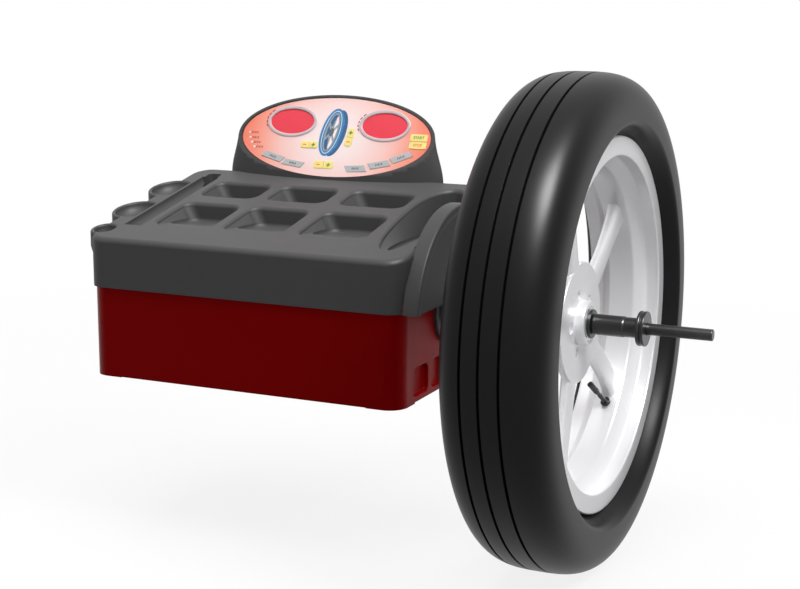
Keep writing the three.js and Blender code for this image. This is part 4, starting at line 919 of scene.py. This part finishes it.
openings = [window_oval(0, place) for place in WINDOW_PLACES.values()]
openings += [key_outline(name, GAP) for name in KEYS]
openings += [disc(LAMP["radius"] + GAP, *place) for place in LAMP_PLACES]
panel = combine(
    on_panel(stacked([(panel_oval(-inset), height) for inset, height in PANEL_EDGE])), "DIFFERENCE",
    *[on_panel(slab(opening, -ABOVE - 1, 1)) for opening in openings])
bosses = [slab(disc(BOSS["radius"], *place), BOSS["low"], BOSS["high"]) for place in BOSS_PLACES]
combine(panel, "UNION", *map(on_panel, bosses))
make("printed_panel", panel, "panel_print", "cabinet", "console_panel")

for side, place in WINDOW_PLACES.items():
    rings = []
    for t in np.linspace(0, 2 * np.pi, 24, endpoint=False):
        ring = window_oval(BEZEL["width"] / 2 * (1 + np.cos(t)) + BEZEL["gap"], place)
        rise = GAP + BEZEL["height"] / 2 * (1 + np.sin(t))
        rings.append(np.column_stack([ring, np.full(len(ring), rise)]))
    bezel = solid(on_panel(skin(rings, looped=True)), "bezel_" + side)
    dress(bezel, "bezel_plastic", "cabinet", "display_bezel_" + side)
    rim = window_oval(-GAP, place)
    pane_levels = [(rim, -PANE["sink"] - PANE["thick"]), (rim, -PANE["sink"])]
    pane_levels += [
        (shrunk(rim, np.cos(t)), -PANE["sink"] + PANE["dome"] * np.sin(t))
        for t in np.linspace(0.15, 1.5, 10)
    ]
    pane = solid(on_panel(stacked(pane_levels)), "window_" + side)
    dress(pane, "display_lens", "cabinet", "display_window_" + side)
print("windows:", len(WINDOW_PLACES))

# %% Keys and lamps
KEY_FACE = KEY["proud"]
for name in KEYS:
    top_edge = rounded_edge(lambda offset: key_outline(name, offset), level_at(KEY_FACE), KEY["edge"], 4)
    cap = stacked([(key_outline(name, 0), KEY_FACE - KEY["thick"]), *top_edge])
    make(name + "_cap", on_panel(cap), slot_of[name], name, name)

lamp_levels = [(1, -PANEL["thick"] - LAMP["bar"]), (1, 0.0), (0.85, 0.25), (0.3, LAMP["proud"])]
lenses = [
    stacked([(disc(LAMP["radius"] * share, *place), height) for share, height in lamp_levels])
    for place in LAMP_PLACES
]
bars = []
for (u0, v0), (u1, v1) in zip(LAMP_PLACES, LAMP_PLACES[1:]):
    half = (math.hypot(u1 - u0, v1 - v0) + LAMP["bar_width"]) / 2
    outline = rounded_rectangle(half, LAMP["bar_width"] / 2, LAMP["bar_width"] / 3, 4)
    turn = math.degrees(math.atan2(v1 - v0, u1 - u0))
    outline = placed(outline, (u0 + u1) / 2, (v0 + v1) / 2, turn)
    bars.append(slab(outline, panel_back - LAMP["bar"], panel_back))
lamps = combine(on_panel(lenses[0]), "UNION", *map(on_panel, [*lenses[1:], *bars]))
make("lamp_lenses", lamps, "lamp_lens", "cabinet", "lamp_strip")
print("keys:", len(KEYS))

# %% [markdown]
# ## Printed signs
# The signs are thin films of ink on the panel and the keys: minus and plus, two plain words, rows of
# upright marks, dashes beside each window, and a plain wheel in blue and grey. They are real surfaces
# that stand a tenth of a millimetre over the face, so they need no picture.

# %% Signs
INK = 0.12  # mm of ink above the face
SUNK = 0.3  # mm that a film reaches under the face
# Each mark's shift along the row, half width and half height.
MARKS = [(-4.5, 0.6, 1.7), (-2.3, 0.7, 1.3), (0.0, 0.6, 1.7), (2.1, 0.5, 1.3), (4.4, 0.7, 1.6)]
MINUS = (2.6, 0.8)  # half length and half width of a bar
PLUS = (2.8, 0.9)
LABEL_SHIFT = 8.5  # how far right of a lamp its label stands
WORD = {"size": 5.4, "bolder": 0.12}


def sign(name, shapes, height, ink, body):
    """Films of ink: each shape is an outline, raised from just under the face to just over it."""
    film, *more = [on_panel(slab(shape, height - SUNK, height + INK)) for shape in shapes]
    return make(name, combine(film, "UNION", *more), slot_of.get(body, "panel_print"), body, ink=ink)


def bar(half_u, half_v, u, v, turn=0.0):
    """A bar with slightly rounded corners."""
    return placed(rounded_rectangle(half_u, half_v, min(half_u, half_v) * 0.3, 3), u, v, turn)


def marks(name, u, v, turn, height, ink, body):
    """A short row of upright marks of differing widths and heights."""
    for k, (shift, half_u, half_v) in enumerate(MARKS):
        mark = placed(rounded_rectangle(half_u, half_v, 0.2, 2) + [shift, 0], u, v, turn)
        sign(f"{name}_{k}", [mark], height, ink, body)


def lettering(name, word, u, v, ink, body):
    """A plain word in films of ink, from Blender's own font."""
    curve = bpy.data.curves.new(name, "FONT")
    curve.body, curve.size, curve.align_x, curve.align_y = word, WORD["size"], "CENTER", "CENTER"
    curve.extrude, curve.offset = (INK + SUNK) / 2, WORD["bolder"]
    holder = show(name, curve)
    graph = bpy.context.evaluated_depsgraph_get()
    made = bpy.data.meshes.new_from_object(holder.evaluated_get(graph))
    bpy.data.objects.remove(holder)
    points = np.empty(len(made.vertices) * 3)
    made.vertices.foreach_get("co", points)
    points = points.reshape(-1, 3) + [u, v, KEY_FACE + (INK - SUNK) / 2]
    made.vertices.foreach_set("co", (on_panel((points, None))[0] * MM).ravel())
    face_outwards(made, merge=0.01 * MM)
    return dress(show(name, made), slot_of[body], body, ink=ink)


for name in KEYS:
    u, v = key_middle(name)
    if "minus" in name:
        sign(name + "_sign", [bar(*MINUS, u, v)], KEY_FACE, "orange", name)
    elif "plus" in name:
        sign(name + "_sign", [bar(*PLUS, u, v), bar(*PLUS[::-1], u, v)], KEY_FACE, "green", name)
    elif name in ("start_key", "stop_key"):
        word = name[:-4].upper()
        lettering(name + "_sign", word, u, v, "green" if word == "START" else "orange", name)
    else:
        marks(name + "_sign", u, v, KEYS[name][2], KEY_FACE, "dark", name)

for k, (u, v) in enumerate(LAMP_PLACES):
    marks(f"lamp_label_{k}", u + LABEL_SHIFT, v, 0, 0.0, "dark_red", "cabinet")

DASH_REACH = (5.6, 7.2)  # how far a dash's edges lie outside the window
DASH_STARTS = range(140, 205, 13)  # degrees
DASH_SWEEP = 9


def dash(start, end, place):
    """A band of an oval ring: its outer edge from start to end degrees, and its inner edge back."""
    turn = np.radians(np.linspace(start, end, 8))
    inner, outer = [
        np.stack([(WINDOW_HALF[0] + out) * np.cos(turn), (WINDOW_HALF[1] + out) * np.sin(turn)], -1)
        for out in DASH_REACH
    ]
    return np.vstack([outer, inner[::-1]]) + place


for side, place in WINDOW_PLACES.items():
    for k, start in enumerate(DASH_STARTS):
        sign(f"window_mark_{side}_{k}", [dash(start, start + DASH_SWEEP, place)], 0.0, "red", "cabinet")

WHEEL_SIGN = (-6.0, 7.0)
WHEEL_SIGN_TURN = -9
WHEEL_SIGN_RINGS = {  # shift, half width, half height, the ring's width, its height over the ink, its ink
    "tread": (7.0, 15.0, 34.0, 6.0, 0.0, "dark_blue"),
    "tyre": (0.0, 16.0, 35.0, 6.5, 0.06, "blue"),
    "wall": (0.0, 12.6, 31.6, 0.9, 0.1, "white"),
    "rim": (0.0, 9.4, 28.4, 2.2, 0.02, "grey"),
}
WHEEL_SIGN_SPOKES = [(27.0, 1.3, 90), (14.5, 1.5, 60), (14.5, 1.5, 120)]  # half length, half width, turn
SPOKE_RISE = 0.01  # mm that each crossing spoke stands over the one before it
for name, (shift, half_u, half_v, width, height, ink) in WHEEL_SIGN_RINGS.items():
    rings = []
    for grow, z in [(0, -SUNK), (0, INK + height), (-width, INK + height), (-width, -SUNK)]:
        edge = placed(oval(half_u + grow, half_v + grow, 72) + [shift, 0], *WHEEL_SIGN, WHEEL_SIGN_TURN)
        rings.append(np.column_stack([edge, np.full(len(edge), z)]))
    ring = on_panel(skin(rings, looped=True))
    make("wheel_sign_" + name, ring, "panel_print", "cabinet", ink=ink)
for k, (along, across, turn) in enumerate(WHEEL_SIGN_SPOKES):
    film = bar(along, across, *WHEEL_SIGN, WHEEL_SIGN_TURN + turn)
    sign(f"wheel_sign_spoke_{k}", [film], SPOKE_RISE * k, "grey", "cabinet")
sign("wheel_sign_hub", [placed(oval(3.4, 6.2, 40), *WHEEL_SIGN, WHEEL_SIGN_TURN)], 0.05, "dark", "cabinet")
print("signs on", len(KEYS), "keys and the panel")

# %% [markdown]
# ## The wheel
# A tyre is moulded in one piece, so its section carries all the detail: a broad crown with three
# grooves, a soft shoulder, a smooth side wall, and the bead. The section is a closed profile that is
# swept round the axle. The crown follows a superellipse, which is a circle whose power is raised from
# 2 to 3.2, so it is flatter on top and fuller at the shoulders.

# %% Tyre
WHEEL_X = 390.6
WHEEL_AT = (WHEEL_X, 0.0, SPINDLE_Z)
TYRE = {"half": 63.5, "widest": 245.57, "crown": 55.13, "power": 3.2}
TYRE_INSIDE = np.array([[54.5, 245.57], [36.83, 280.65], [12.07, 287.7]])
RIM = {"half": 46.0, "flange": 226.5, "seat": 214.0, "well": 195.0, "skin": 6.0, "flange_width": 7.0,
       "lip": 202.5}
BEAD_WIDTH = 14.0
BULGE = {"below": 9.0, "out": 9.0, "up": 7.5}  # where the side wall's handles lie from its ends
GROOVE_PLACES = (-27.9, -6.3, 16.8)
GROOVE = {"half": 1.7, "depth": 4.5, "shoulder": 1.1, "fine": 3.4}


def tyre_crown(count=220):
    """The outside from one side wall to the other, with each groove as a smooth-shouldered notch.

    The radius at x is the superellipse's, less the depth where x is within a groove, and the notch's
    sides are a smooth step over the shoulder's width.
    """
    turn = np.linspace(0, np.pi, count)
    x = TYRE["half"] * np.sign(np.cos(turn)) * np.abs(np.cos(turn)) ** (2 / TYRE["power"])
    fine = np.concatenate([np.linspace(g - GROOVE["fine"], g + GROOVE["fine"], 25) for g in GROOVE_PLACES])
    x = np.unique(np.round(np.concatenate([x, fine]), 4))[::-1]
    share = np.clip(1 - np.abs(x / TYRE["half"]) ** TYRE["power"], 0, 1)
    radius = TYRE["widest"] + TYRE["crown"] * share ** (1 / TYRE["power"])
    for groove in GROOVE_PLACES:
        reach = (np.abs(x - groove) - GROOVE["half"] + GROOVE["shoulder"]) / GROOVE["shoulder"]
        step = np.clip(1 - reach, 0, 1)
        radius -= GROOVE["depth"] * step ** 2 * (3 - 2 * step)
    return np.stack([x, radius], -1)


def side_wall(side):
    """From the widest place down to the bead: a smooth bulge that ends upright at the rim.

    The bulge is the cubic curve with a handle below its start and one outwards of its end.
    """
    seat, heel = RIM["half"] - RIM["flange_width"] - GAP, RIM["seat"] + GAP
    t = np.linspace(0, 1, 36)[1:, None]
    start, end = np.array([TYRE["half"], TYRE["widest"]]), np.array([seat + 0.6, RIM["flange"] + 1.0])
    handles = start - [0, BULGE["below"]], end + [BULGE["out"], BULGE["up"]]
    curve = ((1 - t) ** 3 * start + 3 * t * (1 - t) ** 2 * handles[0]
             + 3 * t ** 2 * (1 - t) * handles[1] + t ** 3 * end)
    curve = np.vstack([curve, [[seat, RIM["flange"]], [seat, heel], [seat - BEAD_WIDTH, heel]]])
    return curve * [side, 1]


crown = tyre_crown()
inner = rounded_profile(np.vstack([TYRE_INSIDE * [-1, 1], TYRE_INSIDE[::-1]]), 12, 6)
tyre_profile = np.vstack([crown, side_wall(-1), inner, side_wall(1)[::-1]])
make("tyre_rubber", turned(tyre_profile, WHEEL_AT, 192), "tyre_rubber", "spindle_set", "tyre", sharp=50)
print("tyre over the tread, mm:", round(2 * crown[:, 1].max(), 1))

# %% [markdown]
# The rim is one casting: a barrel, a hub with a flat disc, and five spokes that are slightly roofed
# and flare into both. Each is its own skin, and they are joined into one.

# %% Rim
HUB = {"disc": 74.0, "face": 7.2, "back": -1.8, "boss": 27.0, "boss_face": 18.7, "barrel": 34.0,
       "rear": -32.0, "bore": 21.0, "shaft": 12.0, "bearing": 12.0, "holes": 37.0, "hole": 6.5, "past": 2.0,
       "flare_deep": 0.8, "flare_wide": 2.8}
SPOKES = 5
PHASE = math.radians(36)
SPOKE_R = [52.0, 62.0, 74.0, 88.0, 104.0, 122.0, 142.0, 162.0, 176.0, 185.0, 192.5]
SPOKE_HALF = [20.0, 18.6, 17.2, 16.0, 15.2, 15.0, 15.2, 16.0, 17.2, 19.0, 22.5]
SPOKE_FACE = [7.2, 7.2, 7.3, 7.6, 7.9, 8.2, 8.3, 8.5, 8.7, 9.2, 10.4]
SPOKE_DEPTH = [14.0, 14.0, 14.0, 14.0, 14.0, 14.2, 15.2, 16.4, 17.6, 19.4, 22.4]
SPOKE_POWER = (0.62, 0.8)  # across and deep: 1 gives an oval, and lower powers come near a rectangle


def spoke(turn):
    """A spoke: closed sections along the radius, roofed on both faces with rounded edges.

    Point t of a section is (width times the cosine, face times the sine), each raised to a low
    power, so the section lies between an oval and a rectangle.
    """
    t = np.linspace(0, 2 * np.pi, 48, endpoint=False)
    across = np.sign(np.cos(t)) * np.abs(np.cos(t)) ** SPOKE_POWER[0]
    deep = np.sign(np.sin(t)) * np.abs(np.sin(t)) ** SPOKE_POWER[1]
    rings = []
    for r, half, face, depth in zip(SPOKE_R, SPOKE_HALF, SPOKE_FACE, SPOKE_DEPTH):
        x = face - depth / 2 + depth / 2 * deep
        along = half * across
        y, z = r * math.cos(turn) - along * math.sin(turn), r * math.sin(turn) + along * math.cos(turn)
        rings.append(np.column_stack([WHEEL_X + x, y, SPINDLE_Z + z]))
    return skin(rings)


def hub_hole(turn):
    """One of the five round holes through the hub's disc, with a wider mouth."""
    y, z = HUB["holes"] * math.cos(turn), SPINDLE_Z + HUB["holes"] * math.sin(turn)
    start, end, radius = HUB["back"] - HUB["past"], HUB["face"] + HUB["past"], HUB["hole"]
    profile = [(start, 0), (start, radius), (HUB["face"] - HUB["flare_deep"], radius),
               (end, radius + HUB["flare_wide"]), (end, 0)]
    return solid_of(profile, (WHEEL_X, y, z), 40, 0.2)


barrel_half = [
    (13.0, RIM["well"]), (25.0, RIM["seat"]), (39.0, RIM["seat"]), (39.0, RIM["flange"]),
    (RIM["half"], RIM["flange"]), (RIM["half"], RIM["lip"]), (29.0, RIM["lip"] + 2.5),
    (16.0, RIM["well"] - RIM["skin"]),
]
left_half = [(-x, r) for x, r in barrel_half]
barrel = rounded_profile([*left_half[::-1], *barrel_half, left_half[-1]], 2.6, 5)
turns = [PHASE + 2 * math.pi * k / SPOKES for k in range(SPOKES)]
rear, face, past = HUB["rear"], HUB["boss_face"], HUB["past"]
rim = combine(
    turned(barrel[:-1], WHEEL_AT, 192), "UNION",
    drum(HUB["back"], HUB["face"], HUB["disc"], WHEEL_AT, 128, 1.6),
    drum(rear, face, HUB["boss"], WHEEL_AT, 96, 2.2),
    drum(rear + 6, HUB["back"] + 2, HUB["barrel"], WHEEL_AT, 96, 2.0), *map(spoke, turns))
combine(
    rim, "DIFFERENCE",
    drum(rear - past, face + past, HUB["shaft"], WHEEL_AT),
    drum(face - HUB["bearing"], face + past, HUB["bore"], WHEEL_AT),
    drum(rear - past, rear + HUB["bearing"], HUB["bore"], WHEEL_AT), *map(hub_hole, turns))
make("cast_rim", rim, "aluminium", "spindle_set", "wheel_rim", sharp=35)
print("faces in the rim:", len(rim.data.polygons))

# %% [markdown]
# ## Spindle, cones and nut
# These are turned on a lathe from bar, so each is one profile swept round the spindle's line, with
# the small rounded edges that a turner breaks by hand.

# %% Turned steel
ON_SPINDLE = (0.0, 0.0, SPINDLE_Z)
spindle_profile = [
    (-12.0, 0), (-12.0, 14.7), (70.3, 14.7), (70.3, 18.0), (171.7, 18.0), (171.7, 14.7), (330.3, 14.7),
    (330.3, 7.0), (559.0, 7.0), (559.0, 0),
]
spindle = solid_of(spindle_profile, ON_SPINDLE, 64, 1.4)
make("turned_spindle", spindle, "black_steel", "spindle_set", "spindle")

CONE_BORE = 7.4
CONE_WIDTH = 4.0
SLEEVE_LENGTH = 56.0
cone_x = HUB["boss_face"] + GAP
sleeve_x = cone_x + CONE_WIDTH + GAP
nut_x = sleeve_x + SLEEVE_LENGTH + GAP
# Each ring starts at a place on the spindle. Its profile goes from the bore out, along and back in.
RINGS = {
    "pressing_cone": ("outer_cone", "clamp_set", cone_x, 96, 0.9, [
        (-14, CONE_BORE), (-14, 11.0), (0, 15.0), (0, 17.5), (CONE_WIDTH, 17.5), (CONE_WIDTH, CONE_BORE)]),
    "seating_cone": ("inner_cone", "spindle_set", 0.0, 96, 1.2, [
        (-60.0, CONE_BORE), (-60.0, 20.0), (-32.3, 20.0), (-32.3, 15.0), (-18.3, 11.0), (-18.3, CONE_BORE)]),
    "spacer_sleeve": ("clamp_sleeve", "clamp_set", sleeve_x, 96, 2.0, [
        (0, CONE_BORE), (0, 12.5), (38, 12.5), (39, 11.9), (SLEEVE_LENGTH, 11.9),
        (SLEEVE_LENGTH, CONE_BORE)]),
    "clamping_nut": ("clamp_nut", "nut", nut_x, 128, 1.0, [
        (0, CONE_BORE), (0, 21.0), (3.5, 21.0), (4.7, 19.0), (5.9, 21.0), (9.4, 21.0), (9.4, CONE_BORE)]),
}
for name, (node, body, start, sides, rounding, profile) in RINGS.items():
    profile = np.array(profile) + [start, 0]
    make(name, ring_of(profile, WHEEL_AT, sides, rounding), "black_steel", body, node)
print("spindle ends at", spindle_profile[-1][0], "mm")

# %% Wheel bearings and valve
BEARING_RADIUS = 20.7
BEARING_MOUTH = 15.4
CONE_NARROWS = 4.0 / 14  # mm of radius for each mm of depth
for name, side, seat_x in [
    ("wheel_bearing_outer", 1, HUB["boss_face"]), ("wheel_bearing_inner", -1, -HUB["rear"]),
]:
    inner_x = seat_x - HUB["bearing"] + GAP
    deep = BEARING_MOUTH - CONE_NARROWS * (seat_x - inner_x)
    profile = np.array([
        (inner_x, deep), (inner_x, BEARING_RADIUS), (seat_x, BEARING_RADIUS), (seat_x, 18.6),
        (seat_x - 0.7, 18.2), (seat_x - 0.7, 17.0), (seat_x, 16.6), (seat_x, BEARING_MOUTH)]) * [side, 1]
    make(name + "_ring", ring_of(profile, WHEEL_AT, 72, 0.4), "bearing_steel", "spindle_set", name)

VALVE = {"length": 45.0, "collar": 6.5, "lean": math.radians(17), "x": 1.0, "turn": math.radians(-45)}
valve_profile = [
    (0, 0), (0, VALVE["collar"]), (4, VALVE["collar"]), (4, 3.2), (18, 3.2), (18.6, 2.6), (25.2, 2.6),
    (26, 3.2), (26, 3.9), (31, 3.9), (31.5, 3.5), (32, 3.9), (VALVE["length"], 3.9), (VALVE["length"], 0)]
points, faces = solid_of(valve_profile, sides=32, round_mm=0.7)
foot = RIM["well"] - RIM["skin"] - GAP - VALVE["collar"] * math.sin(VALVE["lean"])
to_turn = Matrix.Rotation(VALVE["turn"], 3, "X")
upright = Matrix.Rotation(math.pi, 3, "X") @ Matrix.Rotation(math.pi / 2 + VALVE["lean"], 3, "Z")
foot_place = to_turn @ Vector((VALVE["x"], foot, 0))
points = points @ np.array(to_turn @ upright).T + np.array(foot_place) + WHEEL_AT
make("valve_stem", (points, faces), "black_steel", "spindle_set", "tyre_valve")
print("valve reaches", np.round(points.min(0), 1), np.round(points.max(0), 1))

# %% [markdown]
# ## Light
# A catalogue picture of a machine is lit by large soft lamps overhead, which make the flat tops bright
# and let the fronts fall darker, and by one more at the upper right. A fourth gives gloss alone: it
# draws the long highlights on the tyre and the shafts. The world is a soft grey that only fills the
# shadows. What the camera, mirrors and glass see of it is white.

# %% World and lamps
FILL_STRENGTH = 0.31
# Place in m, side of the square in m, power in W, then: casts shadows, lights colour, gives gloss.
LAMPS = {
    "overhead": ((-0.2, 0.0, 2.3), 1.8, 14, True, True, False),
    "overhead_fill": ((-0.1, -0.2, 2.4), 1.6, 34, False, True, False),
    "upper_right": ((2.0, -0.6, 2.2), 1.2, 36, True, True, False),
    "glint": ((1.3, -1.0, 2.6), 1.1, 330, True, False, True),
}
LIT_PLACE = Vector((0.15, 0.0, 0.1))

world = bpy.data.worlds.new("studio")
bpy.context.scene.world = world
world.use_nodes = True
tree = world.node_tree
tree.nodes.clear()


def seen_directly(tree):
    """1 for rays from the camera, from a mirror-like surface or through glass."""
    path = add(tree, "ShaderNodeLightPath")
    seen = path.outputs["Is Camera Ray"]
    for kind in ("Is Glossy Ray", "Is Transmission Ray"):
        seen = add(tree, "ShaderNodeMath", {0: seen, 1: path.outputs[kind]}, operation="MAXIMUM").outputs[0]
    return seen


fill = add(tree, "ShaderNodeBackground", {"Color": colour("#FFFFFF"), "Strength": FILL_STRENGTH})
white = add(tree, "ShaderNodeBackground", {"Color": colour("#FFFFFF"), "Strength": 1.0})
mixed = add(tree, "ShaderNodeMixShader", {0: seen_directly(tree), 1: fill.outputs[0], 2: white.outputs[0]})
add(tree, "ShaderNodeOutputWorld", {"Surface": mixed.outputs[0]})

for name, (place, size, power, casts, colours, glosses) in LAMPS.items():
    light = bpy.data.lights.new(name, "AREA")
    light.size, light.energy, light.use_shadow = size, power, casts
    lamp = show(name, light)
    lamp.visible_diffuse, lamp.visible_glossy = colours, glosses
    aim = (LIT_PLACE - Vector(place)).to_track_quat("-Z", "Y")
    lamp.matrix_world = Matrix.Translation(place) @ aim.to_matrix().to_4x4()
print("lamps:", len(LAMPS))

# %% [markdown]
# ## Floor
# The floor is white with a light shadow. A share of it glows, and the share grows from the middle
# to full at some distance, so that no edge or horizon shows where the floor meets the white world.

# %% Floor
FLOOR_HALF = 8.0
FLOOR_DROP = 0.5 * MM
NEAR_GLOW = 0.8
GLOW_GROWS = (0.4, 1.8)  # m from the middle

floor_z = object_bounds()[0][2] - FLOOR_DROP
floor_mesh = bpy.data.meshes.new("floor")
corners = np.array([(-1, -1), (1, -1), (1, 1), (-1, 1)]) * FLOOR_HALF
floor_mesh.from_pydata([(x, y, floor_z) for x, y in corners], [], [(0, 1, 2, 3)])
floor = show("floor", floor_mesh)
floor_material, tree = new_material("white_studio_floor")
seen = seen_directly(tree)
paper = add(tree, "ShaderNodeMix", {0: seen, 6: colour("#5A5A5A"), 7: colour("#F4F4F4")}, data_type="RGBA")
cloth = add(tree, "ShaderNodeBsdfDiffuse", {"Color": paper.outputs[2]})
glow = add(tree, "ShaderNodeEmission", {"Color": colour("#FFFFFF"), "Strength": 1.0})
place = add(tree, "ShaderNodeTexCoord").outputs["Object"]
away = add(tree, "ShaderNodeVectorMath", {0: place}, operation="LENGTH")
growing = add(tree, "ShaderNodeMapRange", {
    "Value": away.outputs["Value"], "From Min": GLOW_GROWS[0], "From Max": GLOW_GROWS[1],
    "To Min": NEAR_GLOW, "To Max": 1.0})
share = add(tree, "ShaderNodeMath", {0: seen, 1: growing.outputs[0]}, operation="MULTIPLY")
blended = add(tree, "ShaderNodeMixShader", {0: share.outputs[0], 1: cloth.outputs[0], 2: glow.outputs[0]})
finish_with(tree, blended.outputs[0])
floor_mesh.materials.append(floor_material)
print("floor height in m:", round(floor_z, 4))

bpy.context.scene.view_settings.view_transform = "Standard"
